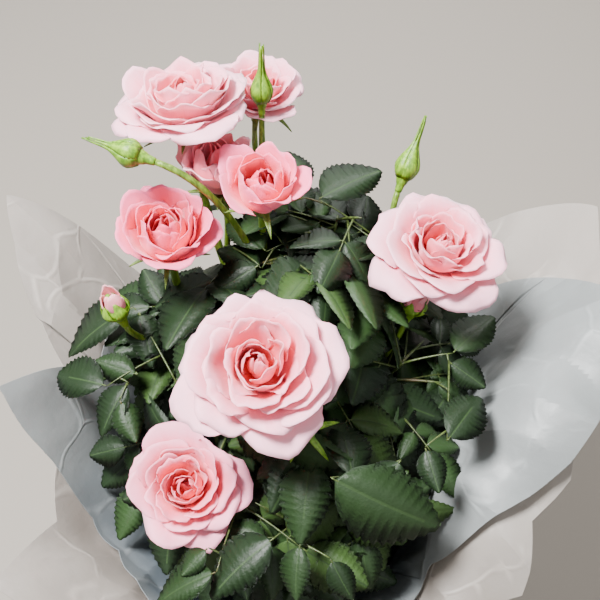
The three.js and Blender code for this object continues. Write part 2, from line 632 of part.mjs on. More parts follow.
function clear(points, mass) {
  const middle = points[1];
  const own = nearest(middle, stemPoints[mass]);
  const inCell = Object.entries(stemPoints).every(
    ([name, others]) => name === mass || nearest(middle, others) > own - LEAF.stray);
  const free = (point) => point.z > POT.height + LEAF.clearance
    && insidePaper(point)
    && inDome(point)
    && !shadesBloom(point)
    && nearest(point, limbPoints) > STALK.footRadius + LEAF.clearance;
  return inCell && nearest(middle, placed) > LEAF.room && points.every(free);
}

// One leaf: its midrib's curve and its leaflets. The draws come in a fixed order.
function leafAt(base, way, random, scale, mass, count = LEAFLETS.length) {
  const outward = base.clone().setZ(0).normalize();
  const light = LIGHT.clone().addScaledVector(outward, LEAF.lightOut)
    .add(new THREE.Vector3(random() - 0.5, random() - 0.5, random() - 0.5).multiplyScalar(0.7)).normalize();
  const rib = LEAF.ribLength * scale * (0.8 + 0.4 * random());
  const end = base.clone().addScaledVector(way, rib).addScaledVector(UP, -LEAF.droop * rib);
  const curve = new THREE.LineCurve3(base, end);
  const leaflets = [];
  for (const { share, side, length } of LEAFLETS.slice(0, count)) {
    const size = length * scale * (0.88 + 0.24 * random());
    const roll = 0.5 * (random() - 0.5);
    const root = curve.getPoint(share);
    const tangent = curve.getTangent(share);
    const face = light.clone().addScaledVector(tangent, -light.dot(tangent)).normalize();
    const heading = tangent.clone().applyAxisAngle(face, side * radians(LEAF.sideTilt));
    heading.addScaledVector(face, -0.12).normalize();
    const normal = face.clone().addScaledVector(heading, -face.dot(heading)).normalize();
    normal.applyAxisAngle(heading, roll);
    const across = new THREE.Vector3().crossVectors(heading, normal).multiplyScalar(LEAFLET_WIDTH * size);
    const spine = root.clone().addScaledVector(heading, 0.4 * size);
    const points = [
      root.clone().addScaledVector(heading, size), spine,
      spine.clone().add(across), spine.clone().sub(across),
    ];
    leaflets.push({ root, heading, normal, size, middle: spine, free: clear(points, mass) });
  }
  const whole = leaflets[0].free && leaflets.filter((leaflet) => leaflet.free).length > 2;
  return { curve, leaflets, whole };
}

// The first of a few tries at a leaf that is clear of everything and fits, each turned further round.
function settle(seed, grow, fits) {
  const random = dice(seed);
  for (let attempt = 0; attempt < LEAF.tries; attempt++) {
    const leaf = grow(random, attempt);
    if (!leaf.whole) continue;
    const solid = leafSolid(leaf);
    if (!fits(solid)) continue;
    placed.push(...leaf.leaflets.filter(({ free }) => free).map(({ middle }) => middle));
    return solid;
  }
  return null;
}

// A mass of foliage: leaves and short twigs round the leafy end of a shoot, turned by the golden angle.
function growth(name, clearOf, fits) {
  const curve = shootCurves[name];
  const seed = SHOOTS[name].seed * 1000;
  const random = dice(seed);
  const leaves = [];
  const twigs = [];
  const nodes = Math.round(curve.getLength() * (1 - SHOOT.bare) / LEAF.spacing);
  const firstTurn = 2 * Math.PI * random();
  const outFrom = (share, turn) => {
    const way = curve.getTangent(share);
    const [side, other] = squareTo(way);
    const out = side.multiplyScalar(Math.cos(turn)).addScaledVector(other, Math.sin(turn));
    out.multiplyScalar(LEAF.outward).addScaledVector(way, 1 - LEAF.outward);
    return out.addScaledVector(UP, 0.05).normalize();
  };
  const tip = settle(seed + 999, (draw, attempt) => {
    const heading = curve.getTangent(1).addScaledVector(LIGHT, 0.3 * attempt * (draw() - 0.5)).normalize();
    return leafAt(curve.getPoint(1), heading, draw, 1.05, name);
  }, fits);
  if (tip) leaves.push(tip);
  for (let k = nodes - 1; k >= 0; k--) {
    const share = lerp(SHOOT.bare, 1, (k + 0.4) / nodes);
    const base = curve.getPoint(share);
    const turn = firstTurn + k * GOLDEN_ANGLE;
    if (k % TWIG.every === 1) {
      const length = TWIG.length * (0.75 + 0.5 * random());
      const out = outFrom(share, turn);
      const end = base.clone().addScaledVector(out, length).addScaledVector(UP, TWIG.lift * length);
      const path = new THREE.LineCurve3(base, end);
      const twig = limb(path, 0, 1, TWIG.radius, TWIG.radius * 0.8, 3, 1);
      if (!clearOf(twig)) continue;
      const borne = [...TWIG.leaves, 1].map((on, i) => {
        const way = path.getTangent(on);
        const [left, above] = squareTo(way);
        return settle(seed + 10 * k + i + 1, (draw, attempt) => {
          const stray = LEAF.tryTurn * (draw() - 0.5) * Math.min(1, attempt);
          const spread = (i % 2 ? 1 : -1) * (on < 1 ? 0.8 : 0) + stray;
          const heading = way.clone().addScaledVector(left, spread).addScaledVector(above, 0.2).normalize();
          const scale = 0.9 - LEAF.tryShrink * attempt;
          return leafAt(path.getPoint(on), heading, draw, scale, name, on < 1 ? 3 : 5);
        }, fits);
      }).filter((leaf) => leaf);
      if (borne.length) twigs.push(twig, ...borne);
    } else {
      const leaf = settle(seed + 10 * k, (draw, attempt) => {
        const heading = outFrom(share, turn + LEAF.tryTurn * attempt);
        return leafAt(base, heading, draw, 1 - LEAF.tryShrink * attempt, name);
      }, fits);
      if (leaf) leaves.push(leaf);
    }
  }
  return [...leaves, ...twigs];
}

function leafSolid(leaf) {
  const parts = [limb(leaf.curve, 0, 1, LEAF.ribRadius, LEAF.ribRadius * 0.75, 3, 1)];
  for (const { root, heading, normal, size, free } of leaf.leaflets) {
    if (!free) continue;
    parts.push(bladeSolid(root, heading, normal, size, LEAFLET_WIDTH * size, LEAF.fold, LEAF.thickness));
  }
  return fuse(parts);
}

// A solid with its box, and whether another solid stays a gap away from all of a list of them.
const boxed = (solid) => ({ solid, box: solid.boundingBox() });

function standsClear(solid, others, gap) {
  const box = solid.boundingBox();
  return others.every((other) => {
    const near = (i) => box.min[i] < other.box.max[i] + 1 && other.box.min[i] < box.max[i] + 1;
    const meets = [0, 1, 2].every(near);
    return !meets || solid.minGap(other.solid, 1) > gap;
  });
}

function stemSolid(name) {
  const curve = shootCurves[name];
  const start = SHOOT.bare + GAP / curve.getLength();
  return limb(curve, start, 1, SHOOT.stemRadius, SHOOT.tipRadius, SHOOT.stemSides, SHOOT.stemRows);
}

// Each leaf is kept only where it stays clear of all that is there, and of the other leaves of its mass.
function foliageSolid(name, standing, stems) {
  const otherStems = Object.keys(stems).filter((other) => other !== name).map((other) => stems[other]);
  const others = [...standing, ...otherStems];
  const own = [];
  const clearOf = (solid) => standsClear(solid, others, GAP);
  const fits = (solid) => {
    if (own.length >= SHOOTS[name].leaves || !clearOf(solid) || !standsClear(solid, own, 0.05)) return false;
    own.push(boxed(solid));
    return true;
  };
  return fuse([stems[name].solid, ...growth(name, clearOf, fits)]);
}

// The whole plant
const bush = new THREE.Group();
const standing = [];

function add(name, solid, look) {
  const tidy = biggest(solid.simplify(0.01));
  const mesh = new THREE.Mesh(geometryOf(tidy), new THREE.MeshStandardMaterial(look));
  mesh.name = name;
  bush.add(mesh);
  standing.push(boxed(tidy));
  return tidy;
}

add("pot", potSolid(), LOOKS.pot);
add("soil", soilSolid(), LOOKS.soil);
add("crown", crownSolid(), LOOKS.bark);
add("paper_inner", sheetSolid(INNER_SHEET), LOOKS.innerPaper);
add("paper_outer", sheetSolid(OUTER_SHEET), LOOKS.outerPaper);
add("ribbon", ribbonSolid(), LOOKS.ribbon);

const wideCrown = crownSolid(GAP);
for (const [name, cane] of Object.entries(CANES)) {
  const solid = limb(caneCurves[name], 0, 1, cane.radius, CANE.tipRadius, CANE.sides, CANE.rows);
  add(name, solid.subtract(wideCrown), LOOKS.cane);
}
for (const [name, stalk] of Object.entries(STALKS)) {
  const cane = CANES[stalk.from];
  const solid = limb(stalkCurves[name], 0, 1, STALK.footRadius, STALK.tipRadius, STALK.sides, STALK.rows);
  const radii = [cane.radius + GAP, CANE.tipRadius + GAP];
  const wideCane = limb(caneCurves[stalk.from], 0, 1, radii[0], radii[1], CANE.sides, CANE.rows);
  add(name, solid.subtract(wideCane), LOOKS.cane);
}
for (const [name, spec] of Object.entries(BLOOMS)) add(name, bloomSolid(spec), LOOKS.petals);
for (const [name, spec] of Object.entries(BUDS)) {
  add(name, budSolid(spec), name.includes("pink") ? LOOKS.pinkBud : LOOKS.bud);
}
for (const name of Object.keys(SHOOTS)) {
  const { radius, stemRadius, sides, rows } = SHOOT;
  const solid = limb(shootCurves[name], 0, SHOOT.bare, radius, stemRadius, sides, rows);
  add(`bough_${name}`, solid.subtract(wideCrown), LOOKS.cane);
}
const stems = Object.fromEntries(Object.keys(SHOOTS).map((name) => [name, boxed(stemSolid(name))]));
for (const name of Object.keys(SHOOTS)) {
  add(`foliage_${name}`, foliageSolid(name, standing, stems), LOOKS.foliage);
}

export default bush;
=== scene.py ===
"""A potted rose bush in bloom in its wrapping paper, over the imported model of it."""

import math

import bmesh
import bpy
import numpy as np
from mathutils import Matrix, Vector, noise


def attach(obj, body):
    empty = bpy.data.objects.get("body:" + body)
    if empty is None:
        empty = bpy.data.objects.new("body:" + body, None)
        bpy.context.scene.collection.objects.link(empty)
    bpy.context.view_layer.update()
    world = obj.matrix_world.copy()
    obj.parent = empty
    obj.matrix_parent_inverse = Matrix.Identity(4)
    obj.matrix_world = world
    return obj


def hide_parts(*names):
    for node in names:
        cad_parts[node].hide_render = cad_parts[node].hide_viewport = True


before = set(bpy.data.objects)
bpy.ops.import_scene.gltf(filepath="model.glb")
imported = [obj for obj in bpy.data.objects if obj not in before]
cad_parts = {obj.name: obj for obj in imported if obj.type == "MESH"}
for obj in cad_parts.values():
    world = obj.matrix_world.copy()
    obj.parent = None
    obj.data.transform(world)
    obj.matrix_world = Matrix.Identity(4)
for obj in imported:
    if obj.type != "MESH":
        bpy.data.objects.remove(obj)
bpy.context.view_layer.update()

# Lengths are in millimetres, as in the part's source, and a finished piece is in metres.
MM = 0.001
UP = Vector((0, 0, 1))
GOLDEN_ANGLE = math.radians(137.5)

POT = dict(rim=72, neck=70.5, base=53, height=130, lip=9, wall=4, floor=4)
SOIL_TOP = 118
# The crown's height, and where canes and shoots leave it: radius, height over the soil and how upright.
CROWN = dict(height=22, canes=(6, 13, 0.8), shoots=(9.5, 5, 0.55))
GAP = 0.3
JOINT_SPACING = 19
TIE = dict(foot_height=3, height=88, radius=68.1, foot_radius=57)
SHEET = dict(thickness=0.8, wall=0.35, layer_gap=0.42, spread=9, pleats=9, pleat_depth=1.8,
             foot_pleats=10, foot_pleat_depth=1, crease_angle=13, columns=400,
             fold_drop=8, fold_lift=42, fold_step=2.5)
# The rows of faces in a sheet: all of them, those below the tie, and those up to the fold.
SHEET_ROWS = (78, 18, 42)
FLARE_LENGTH = 130
# How the paper flares at each direction round the pot: the radius and height that draw it, and its end.
FLARE = [
    (0, (84, 250), (156, 264)), (27, (95, 190), (161, 262)), (63, (95, 150), (125, 185)),
    (90, (92, 140), (118, 160)), (126, (95, 150), (122, 178)), (153, (88, 200), (150, 276)),
    (180, (88, 190), (130, 240)), (198, (95, 180), (155, 227)), (216, (100, 160), (165, 200)),
    (243, (100, 150), (150, 170)), (270, (98, 150), (140, 156)), (297, (92, 190), (140, 165)),
    (324, (78, 270), (155, 205)), (342, (80, 272), (155, 238)),
]
# How much of the flare each sheet covers, by direction.
INNER_REACH = [(0, 1), (36, 0.62), (90, 0.8), (150, 0.6), (171, 0.62), (189, 1), (198, 0.72), (207, 0.56),
               (216, 0.53), (234, 0.62), (270, 0.85), (306, 0.6), (333, 0.85)]
OUTER_REACH = [(27, 1), (45, 0.97), (54, 0.8), (63, 0.72), (90, 0.75), (130, 0.8), (153, 1), (189, 0.66),
               (207, 0.69), (216, 1), (252, 0.8), (288, 0.8), (306, 0.92), (315, 1), (324, 0.86), (333, 0.9),
               (351, 0.7)]
# Where each sheet is folded over, by direction: the share of its flare at which the fold lies.
INNER_FOLD = [(-58, 0.6), (-46, 0.48), (-28, 0.35), (-17, 0.35), (3, 0.46), (8, 0.5), (14, 0.57), (17, 0.66),
              (21, 0.78)]
OUTER_FOLD = [(144, 0.92), (153, 0.82), (162, 0.77), (170, 0.8)]
# Straight creases in the paper: how many a sheet has, how wide and long they are, and how far they stand out.
CREASES = dict(count=34, width=(9, 24), length=(30, 80), height=(1.6, 4.6))
RIBBON = dict(height=11, below_tie=3, bow_angle=218, loop_reach=44, loop_height=11, tail_drop=58, wall=0.5)

# Each bloom: the middle of its face, the way it faces, the length of its petals, how open it is, the turn of
# its spiral and its count of petals. A heart of 1 stands up as tightly as a bud, a crowd over 1 puts more of
# the petals in the heart, and tall makes those longer.
BLOOMS = {
    "bloom_centre": dict(at=(-16, -55, 299), faces=(0.03, -0.38, 0.92),
        petal=33.5, open=1.0, turn=0.4, count=35),
    "bloom_right": dict(at=(64, 16, 294), faces=(0.15, -0.08, 0.98),
        petal=31, open=0.9, turn=1.9, count=34),
    "bloom_upper_left": dict(at=(-53, 69, 334), faces=(-0.1, 0.16, 0.98),
        petal=32, open=0.84, turn=3.1, count=48, heart=0.3, crowd=0.78),
    "bloom_upper_back": dict(at=(-20, 102, 313), faces=(0.1, -0.05, 0.99),
        petal=26.5, open=0.72, turn=0.9, count=26),
    "bloom_lower_left": dict(at=(-51, -68, 225), faces=(0.0, -0.42, 0.91),
        petal=28, open=0.85, turn=5.2, count=31),
    "bloom_left": dict(at=(-59, 17, 299), faces=(0.0, -0.14, 0.99),
        petal=28, open=0.56, turn=2.2, count=31, heart=0.9, crowd=1.15),
    "bloom_cup": dict(at=(-16, 29, 315), faces=(0.05, -0.2, 0.98),
        petal=26, open=0.42, turn=4.1, count=25, heart=1, crowd=1.2),
    "bloom_small": dict(at=(-38, 49, 307), faces=(-0.12, 0.05, 0.99),
        petal=25, open=0.34, turn=0.2, count=19, heart=1, crowd=1.2, tall=0.3),
}
# Petals: how far they lean at the foot and at the rim, in the heart, outside, and more as a bloom opens.
PETAL = dict(inner_foot=12, outer_foot=20, open_foot=40, inner_rim=-28, outer_rim=-5, open_rim=115, bend=1.6,
             inner_length=0.6, inner_span=76, outer_span=46, foot_radius=2.2, first_rank=0.02,
             foot_width=0.5, full=1.07, wall=0.3, steps=12, grid=(14, 15), bud_grid=(7, 9))
CALYX = dict(radius=4.6, length=9, stalk_radius=2.1, sepals=5, sepal_length=19, sepal_width=4.2, share=0.6)
# Each bud: its foot, the way it faces, its radius, and the length of its egg and of the thin point beyond.
BUDS = {
    "bud_left": dict(at=(-61, 26, 330), faces=(-0.94, 0.26, 0.2), radius=5.9, egg=15, tip=11),
    "bud_right": dict(at=(46, 52, 288), faces=(0.32, 0.52, 0.79), radius=5.6, egg=18, tip=13),
    "bud_top": dict(at=(-18, 80, 311), faces=(0.02, 0.2, 0.98), radius=4.7, egg=16, tip=13),
    "bud_pink_left": dict(at=(-80, -3, 256), faces=(-0.3, 0.1, 0.95), radius=6.2, egg=13, tip=6),
    "bud_pink_right": dict(at=(49, 2, 253), faces=(0.25, 0.1, 0.96), radius=6, egg=13, tip=4),
    "bud_front": dict(at=(3, -58, 250), faces=(-0.1, -0.35, 0.93), radius=5, egg=11, tip=9),
}
# Each cane: its direction round the crown, what it bears, its radius, and how far it bows at either end.
CANES = {
    "cane_centre": (304, "bloom_centre", 2.5, 62, 70),
    "cane_right": (8, "bloom_right", 2.5, 62, 85),
    "cane_back_left": (128, "bloom_upper_left", 2.6, 70, 85),
    "cane_back": (70, "bloom_cup", 2.5, 62, 85),
    "cane_left": (186, "bloom_left", 2.4, 68, 80),
    "cane_lower_left": (244, "bloom_lower_left", 2.2, 42, 42),
}
# Each side stalk: the cane that it leaves and where, what it bears, and how far it bows at either end.
STALKS = {
    "stalk_small": ("cane_back_left", 0.66, "bloom_small", 10, 14),
    "stalk_upper_back": ("cane_back", 0.56, "bloom_upper_back", 22, 30),
    "stalk_top_bud": ("cane_back", 0.8, "bud_top", 16, 20),
    "stalk_left_bud": ("cane_back", 0.7, "bud_left", 26, 34),
    "stalk_right_bud": ("cane_right", 0.62, "bud_right", 18, 22),
    "stalk_pink_right": ("cane_right", 0.5, "bud_pink_right", 14, 20),
    "stalk_pink_left": ("cane_left", 0.58, "bud_pink_left", 14, 16),
    "stalk_front_bud": ("cane_centre", 0.62, "bud_front", 10, 14),
}
STEM_TIP = 1.75
# Each leafy shoot: its direction round the crown, its tip, and the seed of its leaves.
SHOOTS = {
    "middle": (55, (14, -16, 246), 11),
    "back": (92, (18, 46, 278), 23),
    "back_left": (152, (-34, 36, 268), 37),
    "left": (205, (-56, -24, 238), 41),
    "front_left": (257, (-28, -68, 208), 59),
    "front": (289, (6, -80, 200), 61),
    "front_right": (322, (48, -62, 220), 73),
    "right": (350, (48, -14, 242), 83),
    "back_right": (42, (44, 32, 268), 97),
}
# The share of a shoot that is bare, from the crown up.
BARE = 0.36
LEAF = dict(spacing=3.3, rib=33, droop=0.25, side_tilt=64, outward=0.8, light_out=0.4, sway=0.95, nod=0.12,
            clearance=2.9, above_rim=2, tries=10, try_turn=1.3, try_shrink=0.03, stray=34, room=3.6,
            recent=260)
# The leaflets of a leaf: where on its rib each sits, on which side, and its length.
LEAFLETS = [(1, 0, 37), (0.76, 1, 30), (0.76, -1, 30), (0.34, 1, 22), (0.34, -1, 22)]
LEAFLET_WIDTH = 0.36
# Four forms of leaflet: half its width, how far its halves fold up, its droop, twist and wavy edge.
LEAFLET_SHAPES = [(0.36, 0.16, 0.16, 0, 0.05), (0.33, 0.24, 0.26, 0.14, 0.04),
                  (0.39, 0.1, 0.1, -0.12, 0.07), (0.35, 0.3, 0.34, -0.2, 0.06)]
UNDERSIDE = 2
# Finishes of the leaves: a colour and a roughness each. The tints are dealt out by leaf, the dark ones most.
LEAF_TINTS = [("dark", (24, 40, 20), 0.42), ("painted_foot_shade", (31, 50, 24), 0.44),
              ("mid", (38, 61, 28), 0.46), ("fresh", (48, 71, 30), 0.48)]
LEAF_RIB = ("leaf_rib", (40, 60, 30), 0.5)
LEAF_UNDER = ("leaf_under", (70, 90, 62), 0.6)
TWIG = dict(every=3, length=26, radius=0.7, lift=0.15, leaves=(0.35, 0.7, 1))
# Low twigs that lean out over the pot's rim: where they leave the shoot, and their turns from straight out.
SKIRT = dict(shares=(0.4, 0.5), turns=(-38, 0, 38), length=54, lift=-0.02, leaves=(0.42, 0.7, 1))
# Single leaflets that stand out from a mass: where each joins its stalk, and its tip.
STANDING_OUT = dict(
    left=[((-80, 16, 246), (-116, 5, 232)), ((-89, -24, 238), (-118, -12, 234)),
          ((-75, -19, 240), (-95, -13, 242)), ((-79, -23, 238), (-93, -42, 228)),
          ((-76, 11, 248), (-69, -13, 244)), ((-82, -31, 236), (-74, -48, 230))],
    right=[((70, -14, 250), (90, 6, 254)), ((68, -18, 248), (84, -27, 242)),
           ((64, -57, 244), (82, -34, 248)), ((54, -61, 244), (59, -78, 238)),
           ((62, -27, 244), (74, -34, 240))],
    front_right=[((13, -79, 250), (59, -96, 232)), ((22, -77, 246), (19, -48, 250)),
                 ((43, -67, 244), (30, -84, 240))],
    back_right=[((9, 45, 290), (38, 67, 292)), ((0, 47, 290), (-5, 73, 298)),
                ((23, 13, 282), (39, 29, 284))],
    back_left=[((-19, 16, 276), (-40, 6, 268))],
    back=[((-16, 27, 274), (-34, 45, 280)), ((-18, 20, 270), (-38, 32, 272)),
          ((-11, 35, 276), (-26, 50, 282))],
    front_left=[((-36, -104, 214), (-64, -110, 204)), ((-11, -92, 222), (-40, -111, 212)),
                ((-40, -94, 216), (-51, -103, 210))],
    front=[((0, -95, 222), (-4, -115, 212)), ((13, -101, 220), (22, -115, 210))],
)
# The rounded space that leaves keep to: its middle, half sizes, and its height in the middle and at the edge.
DOME = dict(middle=(-4, -17), half_width=102, half_depth=94, top=292, edge=254, back_rise=0.5)
# Where leaves face, and the way in front of each bloom that they keep out of, so far.
LIGHT = Vector((0, -0.3, 1)).normalized()
OPEN_SIDE = Vector((0, -0.64, 0.77)).normalized()
OPEN_REACH = 130
# Each light: its place in metres, its size and its power.
LIGHTS = dict(
    key=((-0.42, -0.12, 1.28), 0.3, 60),
    fill=((0.6, -0.8, 1.0), 0.9, 6),
    back=((0.1, 0.9, 0.95), 0.8, 15),
)


def lerp(a, b, share):
    return a + (b - a) * share


def smooth(low, high, value):
    share = min(1.0, max(0.0, (value - low) / (high - low)))
    return share * share * (3 - 2 * share)


class Dice:
    """A repeatable run of numbers, the same as the part's source draws."""

    def __init__(self, seed):
        self.state = int(seed) & 0xFFFFFFFF
        for _ in range(3):
            self()

    def __call__(self, low=0.0, high=1.0):
        self.state = (self.state * 1664525 + 1013904223) & 0xFFFFFFFF
        return low + (high - low) * self.state / 4294967296


class Bow:
    """A smooth curve that leaves one point one way and reaches another the other way."""

    def __init__(self, start, start_way, start_reach, end, end_way, end_reach):
        self.ends = [start, start + start_way * start_reach, end - end_way * end_reach, end]
        points = [self.point(k / 200) for k in range(201)]
        self.length = sum((b - a).length for a, b in zip(points, points[1:]))

    def point(self, t):
        a, b, c, d = self.ends
        s = 1 - t
        return a * s ** 3 + b * (3 * s * s * t) + c * (3 * s * t * t) + d * t ** 3

    def way(self, t):
        a, b, c, d = self.ends
        s = 1 - t
        return ((b - a) * (s * s) + (c - b) * (2 * s * t) + (d - c) * (t * t)).normalized()


class Straight:
    """A straight stretch from one point to another, with the same calls as a bow."""

    def __init__(self, start, end):
        self.start, self.end = start, end
        self.length = (end - start).length

    def point(self, t):
        return self.start.lerp(self.end, t)

    def way(self, t):
        return (self.end - self.start).normalized()


def square_to(way):
    """Two ways square to a way and to each other, the first of them level."""
    level = way.cross(Vector((0, 1, 0)) if abs(way.z) > 0.99 else UP).normalized()
    return level, way.cross(level)


def level_way(turn):
    return Vector((math.cos(turn), math.sin(turn), 0))


def ring(side, other, angle, radius):
    """A step of radius away from a middle, turned by an angle from side to other."""
    return side * (radius * math.cos(angle)) + other * (radius * math.sin(angle))


def face_of(way, square):
    """What is left of a way once it is made square to another, one unit long."""
    return (way - square * way.dot(square)).normalized()


# Materials


def arithmetic(operation, swapped=False):
    """A method of Value that adds the node for a sum."""
    def method(self, other):
        first, second = (other, self) if swapped else (self, other)
        return self.finish.node("ShaderNodeMath", dict(operation=operation), {0: first, 1: second})

    return method


class Value:
    """A number or colour on its way through a material, on which plain arithmetic adds the nodes."""

    def __init__(self, finish, socket):
        self.finish, self.socket = finish, socket

    __add__, __radd__ = arithmetic("ADD"), arithmetic("ADD", swapped=True)
    __sub__, __rsub__ = arithmetic("SUBTRACT"), arithmetic("SUBTRACT", swapped=True)
    __mul__, __rmul__ = arithmetic("MULTIPLY"), arithmetic("MULTIPLY", swapped=True)


class Finish:
    """A material: its shader's fixed values, and the nodes that vary it over the surface."""

    def __init__(self, name, colour, **fixed):
        self.material = bpy.data.materials.new(name)
        self.material.use_nodes = True
        self.material.diffuse_color = (*colour, 1)
        self.tree = self.material.node_tree
        self.shader = self.tree.nodes["Principled BSDF"]
        self.feed("Base Color", (*colour, 1))
        for socket, value in fixed.items():
            self.feed(socket.replace("_", " "), value)

    def feed(self, name, value, node=None):
        socket = (node or self.shader).inputs[name]
        if isinstance(value, Value):
            self.tree.links.new(value.socket, socket)
        else:
            socket.default_value = value

    def node(self, kind, settings=None, sockets=None, output=0):
        """A new node's output, with its settings and with numbers or values on its sockets."""
        node = self.tree.nodes.new(kind)
        for name, value in (settings or {}).items():
            setattr(node, name, value)
        for name, value in (sockets or {}).items():
            self.feed(name, value, node)
        return Value(self, node.outputs[output])

    def place(self, scale=(1, 1, 1)):
        """Object coordinates in millimetres, stretched by scale."""
        spot = self.node("ShaderNodeTexCoord", output="Object")
        return self.node("ShaderNodeVectorMath", dict(operation="MULTIPLY"),
                         {0: spot, 1: tuple(s / MM for s in scale)})

    def clouds(self, size, detail=3.0, roughness=0.5, where=None, output=0):
        """Soft random patches of about size millimetres, from 0 to 1, or as a colour from output 1."""
        sockets = dict(Vector=where or self.place(), Scale=1.0 / size, Detail=detail, Roughness=roughness)
        return self.node("ShaderNodeTexNoise", None, sockets, output)

    def span(self, value, low, high, to_low=0.0, to_high=1.0):
        sockets = {"Value": value, "From Min": low, "From Max": high, "To Min": to_low, "To Max": to_high}
        return self.node("ShaderNodeMapRange", dict(interpolation_type="SMOOTHSTEP"), sockets)

    def blend(self, share, first, second):
        colours = [c if isinstance(c, Value) else (*c, 1) for c in (first, second)]
        sockets = {0: share, 6: colours[0], 7: colours[1]}
        return self.node("ShaderNodeMix", dict(data_type="RGBA"), sockets, output=2)

    def relief(self, height, distance, strength=1.0):
        """Raises the surface by height, over a distance in millimetres."""
        sockets = dict(Strength=strength, Distance=distance * MM, Height=height)
        self.feed("Normal", self.node("ShaderNodeBump", None, sockets))


def srgb(r, g, b):
    """A colour given from 0 to 255, as the shader's linear values."""
    shares = [c / 255 for c in (r, g, b)]
    return tuple(c / 12.92 if c <= 0.04 else ((c + 0.055) / 1.055) ** 2.4 for c in shares)


def charcoal_plastic():
    finish = Finish("charcoal_plastic", srgb(52, 53, 55), Roughness=0.55)
    grain = finish.clouds(0.7, 2)
    dust = finish.clouds(22, 4)
    dusty = finish.span(dust, 0.45, 0.75, 0, 0.6)
    finish.feed("Base Color", finish.blend(dusty, srgb(46, 47, 49), srgb(84, 80, 74)))
    finish.feed("Roughness", 0.48 + 0.25 * dust)
    finish.relief(grain, 0.12)
    return finish


def potting_soil():
    finish = Finish("potting_soil", srgb(52, 38, 28), Roughness=0.95)
    clods = finish.clouds(3.5, 5, 0.7)
    damp = finish.clouds(18, 2)
    crumbs = finish.blend(finish.span(clods, 0.35, 0.7), srgb(30, 21, 15), srgb(84, 62, 44))
    finish.feed("Base Color", finish.blend(finish.span(damp, 0.4, 0.7, 0, 0.7), crumbs, srgb(38, 28, 20)))
    finish.relief(clods, 1.2)
    return finish


def woody_bark():
    finish = Finish("woody_bark", srgb(96, 78, 50), Roughness=0.8)
    fissures = finish.clouds(2.4, 4, 0.65, finish.place((1, 1, 0.35)))
    raised = finish.span(fissures, 0.35, 0.65)
    finish.feed("Base Color", finish.blend(raised, srgb(66, 54, 34), srgb(128, 112, 74)))
    finish.relief(fissures, 0.6)
    return finish


def green_stem(name, low, high, flush):
    """Smooth green skin with faint ridges along it, and a brownish flush here and there."""
    finish = Finish(name, srgb(*high), Roughness=0.42)
    streaks = finish.clouds(1.6, 3, 0.6, finish.place((1, 1, 0.14)))
    patches = finish.clouds(17, 3)
    skin = finish.blend(finish.span(streaks, 0.35, 0.68), srgb(*low), srgb(*high))
    finish.feed("Base Color", finish.blend(finish.span(patches, 0.56, 0.74, 0, 0.55), skin, srgb(*flush)))
    finish.feed("Roughness", 0.36 + 0.2 * streaks)
    finish.relief(streaks, 0.25)
    return finish


def leaf_skin(name, tint, shine):
    """A leaflet's satin skin: one colour to a spray, with a fine pebbled relief."""
    finish = Finish(name, srgb(*tint), Roughness=shine, Specular_IOR_Level=0.32)
    pebbles = finish.clouds(1.1, 3, 0.6)
    bloomed = finish.clouds(9, 2)
    finish.feed("Roughness", shine - 0.08 + 0.3 * bloomed)
    finish.relief(pebbles, 0.22)
    return finish


def petal_skin(name, heart, middle, rim):
    """Petal colour: deepest at the foot and in the heart, partly the flower's own colour and partly painted
    shade in its recesses, and palest along the rims, partly a painted highlight, with hair-fine veins.
    """
    finish = Finish(name, srgb(*middle), Roughness=0.62, Sheen_Weight=0.25, Subsurface_Weight=0.22,
                    Subsurface_Scale=0.004, Subsurface_Radius=(1.0, 0.45, 0.35), Specular_IOR_Level=0.3)
    petal = finish.node("ShaderNodeAttribute", dict(attribute_name="petal"), output="Color")
    parts = finish.node("ShaderNodeSeparateColor", None, dict(Color=petal))
    rank, along, across = [Value(finish, parts.socket.node.outputs[k]) for k in range(3)]
    vein_place = finish.node("ShaderNodeCombineXYZ", None, dict(X=across * 26, Y=along * 1.6, Z=rank * 31))
    veins = finish.clouds(1, 3, 0.6, vein_place)
    patches = finish.clouds(9, 2)
    # light runs from the deep heart colour to the pale rim colour. It is partly the petal's own tone, partly
    # painted shade in the recesses and a painted highlight along the rims.
    light = along * 0.62 + rank * 0.55 + (veins - 0.5) * 0.16 + (patches - 0.5) * 0.2
    lower = finish.blend(finish.span(light, 0.22, 0.66), srgb(*heart), srgb(*middle))
    finish.feed("Base Color", finish.blend(finish.span(light, 0.58, 1.1, 0, 1), lower, srgb(*rim)))
    finish.relief(veins, 0.25, 0.6)
    return finish


